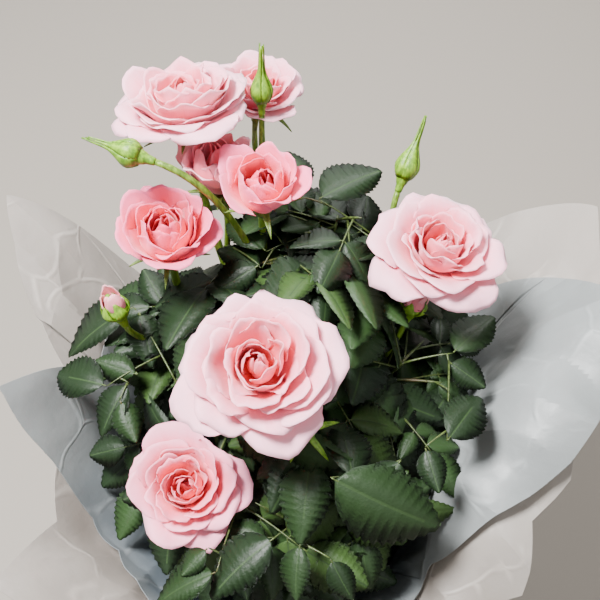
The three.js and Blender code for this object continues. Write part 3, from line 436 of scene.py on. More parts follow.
def waxed_paper(name, tint, shade, gloss):
    """Thin waxed wrapping paper: soft clouding, pale crisp creases, and painted shade that darkens it towards
    its deeper foot.
    """
    finish = Finish(name, srgb(*tint), Roughness=gloss, Subsurface_Weight=0.12, Subsurface_Scale=0.004,
                    Subsurface_Radius=(1.0, 0.95, 0.9), Specular_IOR_Level=0.5)
    clouding = finish.clouds(38, 4)
    crumples = finish.clouds(13, 5, 0.55)
    sway = finish.clouds(50, 2, output=1)
    spot = finish.node("ShaderNodeVectorMath", dict(operation="MULTIPLY_ADD"),
                       {0: sway, 1: (40, 40, 40), 2: finish.place()})
    facets = finish.node("ShaderNodeTexVoronoi", dict(feature="DISTANCE_TO_EDGE"),
                         dict(Vector=spot, Scale=0.021))
    creases = (1.0 - finish.span(facets, 0.0, 0.04)) * finish.span(finish.clouds(26, 2), 0.42, 0.6)
    height = finish.node("ShaderNodeSeparateXYZ", None, dict(Vector=finish.place()), output=2)
    # Painted shade: lower down, where less light reaches into the wrap, the paper is blended from its tint to
    # its shade colour.
    painted_foot_shade = 1.0 - finish.span(height, 90.0, 235.0) + (clouding - 0.5) * 0.9
    skin = finish.blend(finish.span(painted_foot_shade, 0.1, 1.0), srgb(*tint), srgb(*shade))
    finish.feed("Base Color", finish.blend(creases * 0.3, skin, srgb(*(min(255, 1.3 * c) for c in tint))))
    finish.feed("Roughness", gloss - 0.08 + 0.2 * crumples)
    finish.relief(crumples + creases * 0.45, 1.1, 0.5)
    return finish


def satin_ribbon():
    finish = Finish("satin_ribbon", srgb(236, 232, 220), Roughness=0.4, Sheen_Weight=0.3)
    weave = finish.node("ShaderNodeUVMap", dict(uv_map="weave"))
    threads, crossing = [
        finish.node("ShaderNodeTexWave", dict(wave_type="BANDS", bands_direction=direction),
                    dict(Vector=weave, Scale=scale, Distortion=0.0))
        for direction, scale in (("X", 24.0), ("Y", 5.0))]
    finish.feed("Base Color", finish.blend(threads * 0.35, srgb(242, 238, 228), srgb(214, 208, 192)))
    finish.relief(threads * crossing, 0.12)
    return finish


# Making pieces


def finish_piece(name, bm, finish, nodes=()):
    """Brings a mesh to metres, and dresses it."""
    bmesh.ops.scale(bm, vec=(MM, MM, MM), verts=bm.verts)
    mesh = bpy.data.meshes.new(name)
    for face in bm.faces:
        face.smooth = True
    bm.to_mesh(mesh)
    bm.free()
    return dress(name, mesh, [finish], nodes)


def plain_mesh(name, points, faces, kinds=None):
    """A smooth mesh from points in millimetres and from faces, with the number of the finish of each."""
    mesh = bpy.data.meshes.new(name)
    mesh.from_pydata((np.array(points) * MM).tolist(), [], faces)
    if kinds is not None:
        mesh.polygons.foreach_set("material_index", kinds.astype(np.int32))
    mesh.polygons.foreach_set("use_smooth", np.ones(len(faces), bool))
    mesh.update()
    return mesh


def dress(name, mesh, finishes, nodes=()):
    """Gives a mesh its finishes and sets it in the frame in place of its nodes."""
    for finish in finishes:
        mesh.materials.append(finish.material)
    piece = add_to_scene(name, mesh)
    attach(piece, "root")
    if nodes:
        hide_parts(*nodes)
    return piece


def add_to_scene(name, data, place=(0, 0, 0)):
    thing = bpy.data.objects.new(name, data)
    thing.location = place
    bpy.context.scene.collection.objects.link(thing)
    return thing


def bent_tube(bm, sides, rows, place):
    """A closed tube of rows rings, each vertex set by place(angle, share)."""
    tube = bmesh.new()
    bmesh.ops.create_cone(tube, cap_ends=True, segments=sides, radius1=1, radius2=1, depth=1)
    upright = [e for e in tube.edges if abs(e.verts[0].co.z - e.verts[1].co.z) > 0.5]
    bmesh.ops.subdivide_edges(tube, edges=upright, cuts=rows - 1)
    for v in tube.verts:
        v.co = place(math.atan2(v.co.y, v.co.x), v.co.z + 0.5)
    take_in(bm, tube)


def thicken(bm, faces, thickness):
    """Gives a surface a thin closed wall by drawing its faces off along their normals."""
    bmesh.ops.recalc_face_normals(bm, faces=faces)
    # The extrusion turns the faces that it keeps round, so both walls face out.
    drawn = bmesh.ops.extrude_face_region(bm, geom=faces, use_keep_orig=True)["geom"]
    verts = [g for g in drawn if isinstance(g, bmesh.types.BMVert)]
    for face in drawn:
        if isinstance(face, bmesh.types.BMFace):
            face.normal_update()
    for vert in verts:
        vert.normal_update()
    for vert, move in [(vert, vert.normal * thickness) for vert in verts]:
        vert.co += move


def thin_grid(bm, columns, rows, wall, place, mark=None):
    """A grid with a thin wall, each vertex set by place(vert), where its x and y run from -1 to 1."""
    made = bmesh.ops.create_grid(bm, x_segments=columns, y_segments=rows, size=1)["verts"]
    for vert in made:
        vert.co = place(vert)
    faces = list({face for vert in made for face in vert.link_faces})
    if mark:
        mark(faces)
    thicken(bm, faces, wall)


def take_in(bm, part):
    """Adds a mesh under way to another."""
    mesh = bpy.data.meshes.new("part")
    part.to_mesh(mesh)
    part.free()
    bm.from_mesh(mesh)
    bpy.data.meshes.remove(mesh)


def limb(bm, curve, start, end, radii, sides, rows, ridges, knuckle, seed):
    """A tapering stem with shallow ridges along it and a slight swelling at each leaf joint."""
    across = (curve.point(0.4) - curve.point(0)).cross(curve.point(1) - curve.point(0))
    if across.length < 1e-3:
        across = curve.way(0.5).cross(Vector((0.31, 0.87, 0.12)))
    across.normalize()

    def place(angle, share):
        at = lerp(start, end, share)
        way = curve.way(at)
        side = across.cross(way).normalized()
        joints = 0.5 + 0.5 * math.cos(2 * math.pi * (at * curve.length / JOINT_SPACING + seed))
        radius = lerp(*radii, share) * (1 + knuckle * joints ** 8)
        ridge = noise.noise(Vector((2.2 * math.cos(angle) + seed, 2.2 * math.sin(angle), at * 3)))
        return curve.point(at) + ring(side, way.cross(side), angle, radius * (1 + ridges * ridge))

    bent_tube(bm, sides, rows, place)


def prickle(bm, at, out, way, size):
    """A small curved thorn that points a little down the stem."""
    side = way.cross(out).normalized()
    start = at - out * (0.35 * size)

    def place(angle, share):
        lean = way * (-0.75 * size * share * share)
        width = 0.34 * size * max(0.0, 1 - share) ** 1.3
        around = side * (0.6 * width * math.sin(angle)) - way * (1.5 * width * math.cos(angle))
        return start + out * (1.3 * size * share) + lean + around

    bent_tube(bm, 5, 3, place)


def flower_frame(name):
    """The axis of a bloom or bud, two ways square to it, and its foot."""
    spec = BLOOMS.get(name) or BUDS[name]
    axis = Vector(spec["faces"]).normalized()
    return axis, *square_to(axis), Vector(spec["at"]) - axis * (CALYX["share"] * spec.get("petal", 0))


def flower_end(name):
    """Where a stem ends under its bloom or bud, and the way it points there."""
    axis, _, _, foot = flower_frame(name)
    return foot - axis * (GAP + (CALYX["length"] if name in BLOOMS else 0)), axis


def crown_start(angle, radius, height, rise):
    """Where a stem leaves the crown, and the way it sets out."""
    out = level_way(math.radians(angle))
    return out * radius + UP * (SOIL_TOP + height), (out * (1 - rise) + UP * rise).normalized()


def cane_curve(angle, bears, start_reach, end_reach):
    start, way = crown_start(angle, *CROWN["canes"])
    end, end_way = flower_end(bears)
    return Bow(start, way, start_reach, end, end_way, end_reach)


def stalk_curve(source, share, bears, start_reach, end_reach):
    start = canes[source].point(share)
    end, end_way = flower_end(bears)
    way = ((end - start).normalized() + canes[source].way(share)).normalized()
    return Bow(start, way, start_reach, end, end_way, end_reach)


def shoot_curve(angle, tip, upright):
    start, way = crown_start(angle, *CROWN["shoots"])
    if upright:
        start, way = UP * (SOIL_TOP + 0.7 * CROWN["height"]), UP
    tip = Vector(tip)
    length = (tip - start).length
    end_way = (Vector((tip.x, tip.y, 0)).normalized() * (0.2 if upright else 0.6) + UP).normalized()
    return Bow(start, way, 0.42 * length, tip, end_way, 0.36 * length)


canes = {name: cane_curve(angle, bears, *reaches) for name, (angle, bears, _, *reaches) in CANES.items()}
stalks = {name: stalk_curve(*spec) for name, spec in STALKS.items()}
shoots = {name: shoot_curve(angle, tip, name == "middle") for name, (angle, tip, _) in SHOOTS.items()}


# The paper's surfaces


def between(table, angle, mix):
    """The table's entries on each side of a direction, mixed by how far it lies between them."""
    later = next((i for i, entry in enumerate(table) if entry[0] > angle), 0)
    after, last = table[later], table[later - 1]
    gap = (after[0] - last[0]) % 360
    return mix(last, after, ((angle - last[0]) % 360) / gap)


def flare_at(angle):
    def mix(last, after, share):
        share = lerp(share, smooth(0, 1, share), 0.6)
        return [tuple(lerp(a, b, share) for a, b in zip(last[k], after[k])) for k in (1, 2)]
    return between(FLARE, angle, mix)


def reach_at(table, angle):
    return between(table, angle, lambda last, after, share: lerp(last[1], after[1], share))


def bezier2(pull, end, t):
    s = 1 - t
    return (s * s * TIE["radius"] + 2 * s * t * pull[0] + t * t * end[0],
            s * s * TIE["height"] + 2 * s * t * pull[1] + t * t * end[1])


def flare_height(angle, radius):
    """The height of the flare at a radius: a leaf any lower there would be outside the paper."""
    pull, end = flare_at(angle)
    first = 2 * (pull[0] - TIE["radius"])
    second = TIE["radius"] - 2 * pull[0] + end[0]
    root = math.sqrt(max(0.0, first * first + 4 * second * (radius - TIE["radius"])))
    share = min(1.0, (root - first) / (2 * second))
    return bezier2(pull, end, share)[1]


# The foliage


def along(curve, start, end, count):
    """Points at even shares of a curve from start to end."""
    return [curve.point(lerp(start, end, k / count)) for k in range(count + 1)]


limb_points = np.array(
    [p for c in shoots.values() for p in along(c, 0, 1, 34)]
    + [p for c in canes.values() for p in along(c, 0, 1, 44)]
    + [p for c in stalks.values() for p in along(c, 0, 1, 18)])
stem_points = {name: np.array(along(curve, BARE, 1, 8)) for name, curve in shoots.items()}
# Upper ends of canes that show bare, since no leaf stands in front of them.
bare_stalks = [("cane_right", 0.66, 0.97), ("cane_left", 0.74, 0.97), ("cane_back", 0.8, 0.97)]
bare_spots = np.array([p for name, low, high in bare_stalks for p in along(canes[name], low, high, 9)])
open_spots = np.array([spec["at"] for spec in BLOOMS.values()] + [tuple(spot) for spot in bare_spots])
open_rooms = np.array([spec["petal"] * (0.6 + 0.35 * spec["open"]) for spec in BLOOMS.values()]
                      + [4.5] * len(bare_spots))
placed = []


def nearest(point, points):
    return float(np.sqrt(((points - np.array(point)) ** 2).sum(1)).min())


def shades_bloom(point):
    """Whether a point stands in front of a bloom or a bare cane."""
    reach = np.array(point) - open_spots
    ahead = np.clip(reach @ np.array(OPEN_SIDE), 0, OPEN_REACH)
    off = reach - ahead[:, None] * np.array(OPEN_SIDE)[None]
    return bool((np.sqrt((off ** 2).sum(1)) < open_rooms).any())


def inside_paper(point):
    angle = math.degrees(math.atan2(point.y, point.x)) % 360
    radius = math.hypot(point.x, point.y) + 4
    return radius < TIE["radius"] or point.z > flare_height(angle, radius) + 2


def in_dome(point):
    out = math.hypot((point.x - DOME["middle"][0]) / DOME["half_width"],
                     (point.y - DOME["middle"][1]) / DOME["half_depth"])
    top = lerp(DOME["top"], DOME["edge"], out * out) + DOME["back_rise"] * max(0, point.y)
    return out < 1 and point.z < top


def is_clear(points, mass):
    """Whether a leaflet keeps to its own mass, off its neighbours, blooms and limbs, and inside the paper."""
    middle = points[1]
    own = nearest(middle, stem_points[mass]) - LEAF["stray"]
    if any(name != mass and nearest(middle, others) < own for name, others in stem_points.items()):
        return False
    if placed and nearest(middle, np.array(placed[-LEAF["recent"]:])) < LEAF["room"]:
        return False
    low = POT["height"] + LEAF["above_rim"]
    return all(p.z > low and in_dome(p) and inside_paper(p) and not shades_bloom(p)
               and nearest(p, limb_points) > LEAF["clearance"] for p in points)


def leaf_at(base, way, random, scale, mass, count=5):
    """One leaf: its midrib and its leaflets, drawn in the same order as in the part's source."""
    outward = Vector((base.x, base.y, 0)).normalized()
    sway = Vector((random() - 0.5, random() - 0.5, random() - 0.5)) * LEAF["sway"]
    light = (LIGHT + outward * LEAF["light_out"] + sway).normalized()
    rib = LEAF["rib"] * scale * random(0.8, 1.2)
    curve = Straight(base, base + way * rib - UP * (LEAF["droop"] * rib))
    leaflets = []
    for share, side, length in LEAFLETS[:count]:
        size = length * scale * random(0.88, 1.12)
        roll = 0.5 * (random() - 0.5)
        root, tangent = curve.point(share), curve.way(share)
        face = face_of(light, tangent)
        heading = Matrix.Rotation(side * math.radians(LEAF["side_tilt"]), 3, face) @ tangent
        heading = (heading - face * LEAF["nod"]).normalized()
        normal = Matrix.Rotation(roll, 3, heading) @ face_of(face, heading)
        across = heading.cross(normal) * (LEAFLET_WIDTH * size)
        middle = root + heading * (0.4 * size)
        free = is_clear([root + heading * size, middle, middle + across, middle - across], mass)
        leaflets.append(dict(root=root, heading=heading, normal=normal, size=size, middle=middle, free=free))
    free = [leaflet for leaflet in leaflets if leaflet["free"]]
    return dict(curve=curve, leaflets=free, whole=leaflets[0]["free"] and len(free) > 2)


def settle(seed, grow):
    """The first of a few tries at a leaf that is clear of everything, each turned further round."""
    random = Dice(seed)
    for attempt in range(LEAF["tries"]):
        leaf = grow(random, attempt)
        if leaf["whole"]:
            placed.extend(tuple(leaflet["middle"]) for leaflet in leaf["leaflets"])
            return leaf
    return None


def leaves_on(path, shares, spread, seed, scale, mass, swing, tilt):
    """A twig's leaves, by turns to its left and right: five leaflets on the last of them and three before."""
    borne = []
    for i, share in enumerate(shares):
        way = path.way(share)
        left, above = square_to(way)

        def on_twig(draw, attempt):
            aside = (1 if i % 2 else -1) * (spread if share < 1 else 0) + swing(draw, attempt)
            heading = (way + left * aside + above * tilt(draw)).normalized()
            size = scale - LEAF["try_shrink"] * attempt
            return leaf_at(path.point(share), heading, draw, size, mass, 3 if share < 1 else 5)

        borne.append(settle(seed + i, on_twig))
    return [leaf for leaf in borne if leaf]


def growth(name):
    """A mass of foliage: leaves and twigs round the leafy end of a shoot, turned by the golden angle."""
    curve = shoots[name]
    seed = SHOOTS[name][2] * 1000
    random = Dice(seed)
    grown = []
    nodes = round(curve.length * (1 - BARE) / LEAF["spacing"])
    first_turn = 2 * math.pi * random()

    def out_from(share, turn):
        way = curve.way(share)
        out = ring(*square_to(way), turn, LEAF["outward"]) + way * (1 - LEAF["outward"])
        return (out + UP * 0.05).normalized()

    def at_tip(draw, attempt):
        heading = (curve.way(1) + LIGHT * (0.3 * attempt * (draw() - 0.5))).normalized()
        return leaf_at(curve.point(1), heading, draw, 1.05, name)

    grown.append((None, [settle(seed + 999, at_tip)]))
    for k in range(nodes - 1, -1, -1):
        share = lerp(BARE, 1, (k + 0.4) / nodes)
        base = curve.point(share)
        turn = first_turn + k * GOLDEN_ANGLE

        def on_shoot(draw, attempt):
            heading = out_from(share, turn + LEAF["try_turn"] * attempt)
            return leaf_at(base, heading, draw, 1 - LEAF["try_shrink"] * attempt, name)

        if k % TWIG["every"] == 1:
            length = TWIG["length"] * random(0.75, 1.25)
            path = Straight(base, base + out_from(share, turn) * length + UP * (TWIG["lift"] * length))
            grown.append((path, leaves_on(
                path, TWIG["leaves"], 0.8, seed + 10 * k + 1, 0.9, name,
                lambda draw, attempt: LEAF["try_turn"] * (draw() - 0.5) * min(1, attempt), lambda draw: 0.2)))
        else:
            grown.append((None, [settle(seed + 10 * k, on_shoot)]))
    if name != "middle":
        grown += skirt(curve, seed, name)
    twigs = [path for path, leaves in grown if path and leaves]
    return [leaf for _, leaves in grown for leaf in leaves if leaf], twigs


def skirt(curve, seed, name):
    """The low twigs of a mass, with their leaves."""
    grown = []
    outward = math.atan2(SHOOTS[name][1][1], SHOOTS[name][1][0])
    for j, share in enumerate(SKIRT["shares"]):
        for i, turn in enumerate(SKIRT["turns"]):
            draw = Dice(seed + 500 + 10 * j + i)
            out = level_way(outward + math.radians(turn + draw(-12, 12) + 19 * j))
            base = curve.point(share)
            reach = SKIRT["length"] * draw(0.8, 1.15)
            path = Straight(base, base + out * reach + UP * (SKIRT["lift"] * reach * draw(-2, 3)))
            grown.append((path, leaves_on(
                path, SKIRT["leaves"], 0.9, seed + 600 + 30 * j + 10 * i, 0.95, name,
                lambda draw, attempt: 1.6 * (draw() - 0.5), lambda draw: 0.4 * (draw() - 0.5))))
    return grown


def standing_out(name):
    """The leaflets that stand out from a mass, each on a stalk from the nearest point of its shoot."""
    leaves = []
    near = along(shoots[name], 13 / 30, 1, 17)
    for root, tip in STANDING_OUT.get(name, []):
        root, tip = Vector(root), Vector(tip)
        size, heading = (tip - root).length, (tip - root).normalized()
        turn = Dice(int(1000 + 10 * tip.x + tip.y))(-0.35, 0.35)
        facing = Matrix.Rotation(turn, 3, heading) @ face_of(LIGHT, heading)
        source = min(near, key=lambda p: (p - root).length + 0.6 * abs(p.z - root.z))
        near += [source.lerp(root, k / 8) for k in range(3, 8)]
        placed.append(tuple(root + heading * (0.4 * size)))
        leaflet = dict(root=root, heading=heading, normal=facing, size=size)
        leaves.append(dict(curve=Straight(source, root - heading * 0.5), leaflets=[leaflet]))
    return leaves


def leaflet_shape(rows, width, fold, droop, twist, wave):
    """A toothed leaflet a unit long: its points, its faces, and whether each is blade, rib or underside."""
    points = []
    for row in range(rows + 1):
        t = row / rows
        half = width * math.sin(math.pi * t ** 0.8) ** 0.8 * (1 - 0.12 * t) + 0.004
        tooth = 0 if row in (0, rows) else 0.035 if row % 2 else -0.055
        vein = 0.0045 * math.cos(math.pi * row / 2)
        turn = twist * t
        for on_edge, sign in ((True, -1), (False, -1), (False, 1), (True, 1)):
            reach = half * (1 + tooth) if on_edge else min(0.012, 0.5 * half)
            x = t + (0.016 if row % 2 and on_edge else 0)
            y = sign * reach
            z = fold * reach - droop * t * t + (vein if on_edge else 0)
            z += wave * math.sin(6 * t + sign) * (reach / width) ** 2 * width
            across, up = y * math.cos(turn) - z * math.sin(turn), z * math.cos(turn) + y * math.sin(turn)
            points.append((x, across, up))
    points = np.array(points)
    corners = np.arange(4 * rows).reshape(rows, 4)[:, :3].reshape(-1, 1)
    top = corners + [0, 4, 5, 1]
    near_rib = np.abs(points[:, 1]) < 0.03 * (1 + abs(twist))
    inner = np.array([4 * row + column for row in range(1, rows) for column in (1, 2)])
    below = np.arange(len(points))
    below[inner] = len(points) + np.arange(len(inner))
    under = below[top[:, [0, 3, 2, 1]]]
    kinds = np.concatenate([near_rib[top].all(1), np.full(len(under), UNDERSIDE)])
    return np.concatenate([points, points[inner] - (0, 0, 0.012)]), np.concatenate([top, under]), kinds


def spray_mesh(name, leaves, shapes, tints):
    """All the leaflets of a mass as one mesh, each leaf's leaflets in the tint dealt to it."""
    points, faces, kinds = [], [], []
    count = 0
    for leaf, tint in zip(leaves, tints):
        for k, leaflet in enumerate(leaf["leaflets"]):
            size = leaflet["size"]
            pick = Dice(int(1000 * size) + k)
            shape, quads, kind = shapes[int(pick() * len(shapes))]
            heading, normal = np.array(leaflet["heading"]), np.array(leaflet["normal"])
            sides = np.array([heading, np.cross(normal, heading), normal])
            points.append(np.array(leaflet["root"]) + heading * (0.6 + 0.02 * size) + size * (shape @ sides))
            faces.append(quads + count)
            kinds.append(np.where(kind == 0, tint, kind + len(LEAF_TINTS) - 1))
            count += len(shape)
    return plain_mesh(name, np.concatenate(points), np.concatenate(faces).tolist(), np.concatenate(kinds))


def thin_stems(name, stems, sides=5, rows=5):
    """Leaf ribs, stalklets and twigs as one mesh: each bends a little and tapers."""
    points, faces = [], []
    for start, end, radius, sag in stems:
        side, other = square_to((end - start).normalized())
        length = (end - start).length
        first = len(points)
        for row in range(rows + 1):
            share = row / rows
            middle = start.lerp(end, share) + UP * (sag * length * 4 * share * (1 - share))
            thick = radius * (1.25 - 0.5 * share) * (1 if row < rows else 0.55)
            points += [middle + ring(side, other, 2 * math.pi * k / sides, thick) for k in range(sides)]
        for row in range(rows):
            for k in range(sides):
                a = first + row * sides + k
                b = first + row * sides + (k + 1) % sides
                faces.append((a, b, b + sides, a + sides))
        faces.append(tuple(first + k for k in reversed(range(sides))))
        faces.append(tuple(first + rows * sides + k for k in range(sides)))
    return plain_mesh(name, points, faces)


# Blooms


def petal_surface(spec, fit, rank, turn, u, v, quirk):
    """A point of a petal: u runs from edge to edge, v from foot to rim, and rank from heart to outside."""
    axis, side, front, foot = fit
    openness, heart = spec["open"], spec.get("heart", 0)
    swell = heart * smooth(0.0, 0.34, rank)
    foot_lean = lerp(PETAL["inner_foot"] - 5 * heart + 21 * swell,
                     PETAL["outer_foot"] + PETAL["open_foot"] * openness, rank)
    rim_lean = lerp(PETAL["inner_rim"] + 10 * heart - 30 * swell,
                    PETAL["outer_rim"] + PETAL["open_rim"] * openness, rank ** 1.35) + quirk["lean"]
    inner_length = PETAL["inner_length"] + 0.22 * heart + 0.06 * swell + spec.get("tall", 0)
    length = spec["petal"] * PETAL["full"] * lerp(inner_length, 1, rank) * quirk["long"]

    def rough(x, y, z):
        return noise.noise(Vector((quirk["place"] + x, y, z)))

    middle = rank * math.exp(-(u / 0.2) ** 2)
    jag = rough(2.1 * u, 7.7, rank) + 0.3 * rough(6 * u, 3.1, rank)
    outline = 1 - 0.09 * abs(u) ** 3 + quirk["tip"] * middle + 0.075 * jag * smooth(0.1, 0.5, rank)
    reach = v * outline
    radius = PETAL["foot_radius"] * (0.3 + 0.7 * rank)
    height = 0.0
    curl = quirk["curl"] * (0.3 + 0.7 * abs(u)) * (1 + 1.1 * rough(1.9 * u, 1.3 * v, 11.0))
    for step in range(PETAL["steps"]):
        at = (step + 0.5) / PETAL["steps"] * reach
        lean = lerp(foot_lean, rim_lean, at ** PETAL["bend"]) + quirk["cup"] * (1 - 2.1 * at)
        lean = math.radians(lean + curl * smooth(0.7, 1.0, at))
        radius += math.sin(lean) * length * reach / PETAL["steps"]
        height += math.cos(lean) * length * reach / PETAL["steps"]
    span = math.radians(lerp(PETAL["inner_span"], PETAL["outer_span"], rank))
    angle = turn + u * span + quirk["twist"] * u * v
    ripple = rough(2.3 * u, 1.6 * v, 5.0) + 0.25 * rough(6.5 * u, 3.5 * v, 8.0)
    ripple *= quirk["ruffle"] * v * v * spec["petal"]
    out = max(radius, 0.4) * (1 + 0.11 * u) + 0.06 * ripple
    height += 0.05 * ripple - 1.1 * rank * u * u * v - quirk["groove"] * middle * v * v
    stray = 0.06 * (1 - rank) ** 2 * spec["petal"] * smooth(0, 0.4, v)
    return foot + axis * height + ring(side, front, angle, out) + ring(side, front, quirk["off"], stray)


def petal(bm, layer, spec, fit, rank, turn, random, grid):
    """One petal, thin and drawn over its surface, with its own bends, length, rim and tint."""
    quirk = dict(lean=random(-9, 9) * (0.7 + 0.6 * rank),
                 long=random(0.9, 1.08),
                 place=random(0, 60),
                 ruffle=random(0.5, 1.3) * smooth(0, 0.5, rank) + 0.25,
                 twist=random(-0.3, 0.3) * (1.2 - rank),
                 cup=random(20, 34) * math.sin(math.pi * min(1, 0.06 + 0.88 * rank)),
                 groove=random(-0.4, 1.6),
                 curl=random(44, 118) * smooth(0.1, 0.5, rank) * (0.35 + 0.65 * spec["open"]) + random(0, 18),
                 tip=random(-0.04, 0.11),
                 off=random(0, 6.3))
    tint = random()

    def place(vert):
        u, v = vert.co.x, 0.5 + 0.5 * vert.co.y
        vert[layer] = (rank, v, 0.5 + 0.5 * u, tint)
        width = lerp(PETAL["foot_width"], 1, smooth(0, 0.75, v)) * (1 - 1.1 * max(0.0, v - 0.8) * u * u)
        rounded = 1 - 0.16 * u * u * max(0.0, 2 * v - 1) ** 2
        return petal_surface(spec, fit, rank, turn, u * width, v * rounded, quirk)

    thin_grid(bm, *grid, PETAL["wall"], place)


def turned(bm, fit, profile, sides=16, wobble=0.0, rows=None):
    """A closed form of revolution on a flower's own axis, from (radius, height) pairs smoothed between."""
    axis, side, front, foot = fit

    def place(angle, share):
        at = share * (len(profile) - 1)
        k = min(len(profile) - 2, int(at))
        (low, start), (high, end) = profile[k:k + 2]
        radius = lerp(low, high, smooth(0, 1, at - k))
        radius *= 1 + wobble * math.cos(5 * angle) * math.sin(math.pi * share)
        return foot + axis * lerp(start, end, at - k) + ring(side, front, angle, radius)

    bent_tube(bm, sides, rows or 3 * (len(profile) - 1), place)


def sepal(bm, fit, angle, lean, curl, low, length, width, random):
    """A long pointed sepal that arches away from the hip, with a keel along it."""
    axis, side, front, foot = fit
    out = ring(side, front, angle, 1)
    level = axis.cross(out)
    start = foot + axis * low + out * (0.55 * CALYX["radius"])
    bend = curl * random(0.6, 1.3)
    steps = 6

    def place(vert):
        t, u = 0.5 + 0.5 * vert.co.x, vert.co.y
        half = 0.5 * width * (1 - t) ** 0.7 * (0.75 + 0.9 * t * (1 - t)) + 0.12
        at = start.copy()
        for step in range(steps):
            at += ring(axis, out, lean + bend * (step + 0.5) / steps * t, length * t / steps)
        turn = lean + bend * t
        inner = axis * math.sin(turn) - out * math.cos(turn)
        return at + level * (half * u) + inner * (0.35 * half * abs(u))

    thin_grid(bm, 8, 4, 0.5, place)


def build_bloom(name, petals_finish, green):
    """A bloom: hip and sepals under nested petals, from tight curls in the heart to broad ones outside."""
    spec, fit = BLOOMS[name], flower_frame(name)
    random = Dice(int(spec["turn"] * 1000) + 7)
    bm = bmesh.new()
    layer = bm.verts.layers.float_color.new("petal")
    count = spec["count"]
    for k in range(count):
        rank = lerp(PETAL["first_rank"], 1, (k / (count - 1)) ** spec.get("crowd", 0.92))
        turn = spec["turn"] + k * GOLDEN_ANGLE + random(-0.25, 0.25)
        petal(bm, layer, spec, fit, rank, turn, random, PETAL["grid"])
    heart = ((0.003, -0.03), (0.1, 0.05), (0.11, 0.2), (0.05, 0.34), (0.001, 0.36))
    turned(bm, fit, [(out * spec["petal"], high * spec["petal"]) for out, high in heart])
    finish_piece(name + "_petals", bm, petals_finish, [name])
    bm = bmesh.new()
    stalk, radius, length = CALYX["stalk_radius"], CALYX["radius"], CALYX["length"]
    turned(bm, fit, [(stalk, -length), (stalk * 1.05, -0.85 * length), (radius, -0.45 * length),
                     (radius * 1.02, -0.1 * length), (radius * 0.8, 1.2), (0.2, 2.4)])
    lean = math.radians(lerp(50, 104, spec["open"]))
    for k in range(CALYX["sepals"]):
        angle = k / CALYX["sepals"] * 2 * math.pi + 0.3
        sepal(bm, fit, angle, lean + random(-0.2, 0.2), random(-0.2, 0.9), -0.6,
              CALYX["sepal_length"] * random(0.85, 1.05), CALYX["sepal_width"], random)
    finish_piece(name + "_calyx", bm, green)


def bud_belly(share):
    """How full a closed bud is, from its hip at 0 to where its thin point begins at 1."""
    swelling = lerp(0.6, 1, math.sin(min(1, share / 0.34) * math.pi / 2))
    return swelling * lerp(1, 0.17, smooth(0.26, 1.05, share))


def build_bud(name, green, pink):
    """A bud on its hip: a bare hip with spread sepals, a closed egg in its sepals, or one that shows pink."""
    spec, fit = BUDS[name], flower_frame(name)
    radius, egg = spec["radius"], spec["egg"]
    random = Dice(int(radius * 100) + int(egg))
    is_pink = "pink" in name
    bm = bmesh.new()
    hip = [(1.7, 0), (0.36 * radius, 3), (0.5 * radius, 5), (0.66 * radius, 7.6), (0.4 * radius, 10)]
    turned(bm, fit, hip)
    if name == "bud_front":
        knob = [(0.5 * radius, 6.5), (0.95 * radius, 9), (radius, 12), (0.75 * radius, 15.5), (0.3, 17)]
        turned(bm, fit, knob)
        for k in range(CALYX["sepals"]):
            sepal(bm, fit, k * 2 * math.pi / 5, math.radians(98), 0.9, 6.5, 15, 3.6, random)
    else:
        slim = 0.93 if is_pink else 1.0
        low, top = 6.6, 7 + egg
        profile = [(slim * radius * bud_belly(k / 12), lerp(low, top, k / 12)) for k in range(13)]
        turned(bm, fit, profile + [(0.1, top + 0.2)], rows=26, wobble=0.04)
        for k in range(CALYX["sepals"]):
            wrap_sepal(bm, fit, k * 2 * math.pi / 5 + 0.4, spec, is_pink, random)
    if not is_pink:
        finish_piece(name + "_shell", bm, green, [name])
        return
    finish_piece(name + "_calyx", bm, green)
    bm = bmesh.new()
    layer = bm.verts.layers.float_color.new("petal")
    axis, side, front, foot = fit
    lifted = (axis, side, front, foot + axis * 6)
    for k in range(9):
        petal(bm, layer, dict(petal=egg * 1.35, open=0.0), lifted, lerp(0.1, 0.75, k / 8), k * GOLDEN_ANGLE,
              random, PETAL["bud_grid"])
    finish_piece(name + "_petals", bm, pink, [name])


def wrap_sepal(bm, fit, angle, spec, is_pink, random):
    """A sepal along the egg of a bud: short and flared on a pink one, and drawn out thin on a closed one."""
    axis, side, front, foot = fit
    radius, egg, tip = spec["radius"], spec["egg"], spec["tip"]
    total = (egg + tip * random(0.75, 1.0)) * (0.55 if is_pink else 1)
    sway = random(-0.12, 0.12)

    def place(vert):
        t, u = 0.5 + 0.5 * vert.co.x, vert.co.y
        rise = t * total
        belly = bud_belly(rise / egg) if rise < egg else lerp(0.17, 0.03, min(1, (rise - egg) / tip))
        flare = 2.0 * t * t if is_pink else 0
        half = 0.62 * (1 - t) ** 0.6 + 0.02 if is_pink else 0.66 * (1 - t) ** 0.5 + 0.05
        out = radius * belly + 0.35 + 0.3 * (1 - abs(u)) + flare
        return foot + axis * (6.8 + rise) + ring(side, front, angle + sway * t + half * u, out)

    thin_grid(bm, 14, 6, 0.4, place)


# Pot, soil and crown


def spun(profile, steps=96):
    """A closed wall turned about the vertical from (radius, height) pairs."""
    bm = bmesh.new()
    verts = [bm.verts.new((r, 0, z)) for r, z in profile]
    edges = [bm.edges.new(pair) for pair in zip(verts, verts[1:])]
    bmesh.ops.spin(bm, geom=verts + edges, cent=(0, 0, 0), axis=(0, 0, 1), angle=2 * math.pi, steps=steps,
                   use_merge=True)
    bmesh.ops.remove_doubles(bm, verts=bm.verts, dist=0.001)
    bmesh.ops.recalc_face_normals(bm, faces=bm.faces)
    return bm


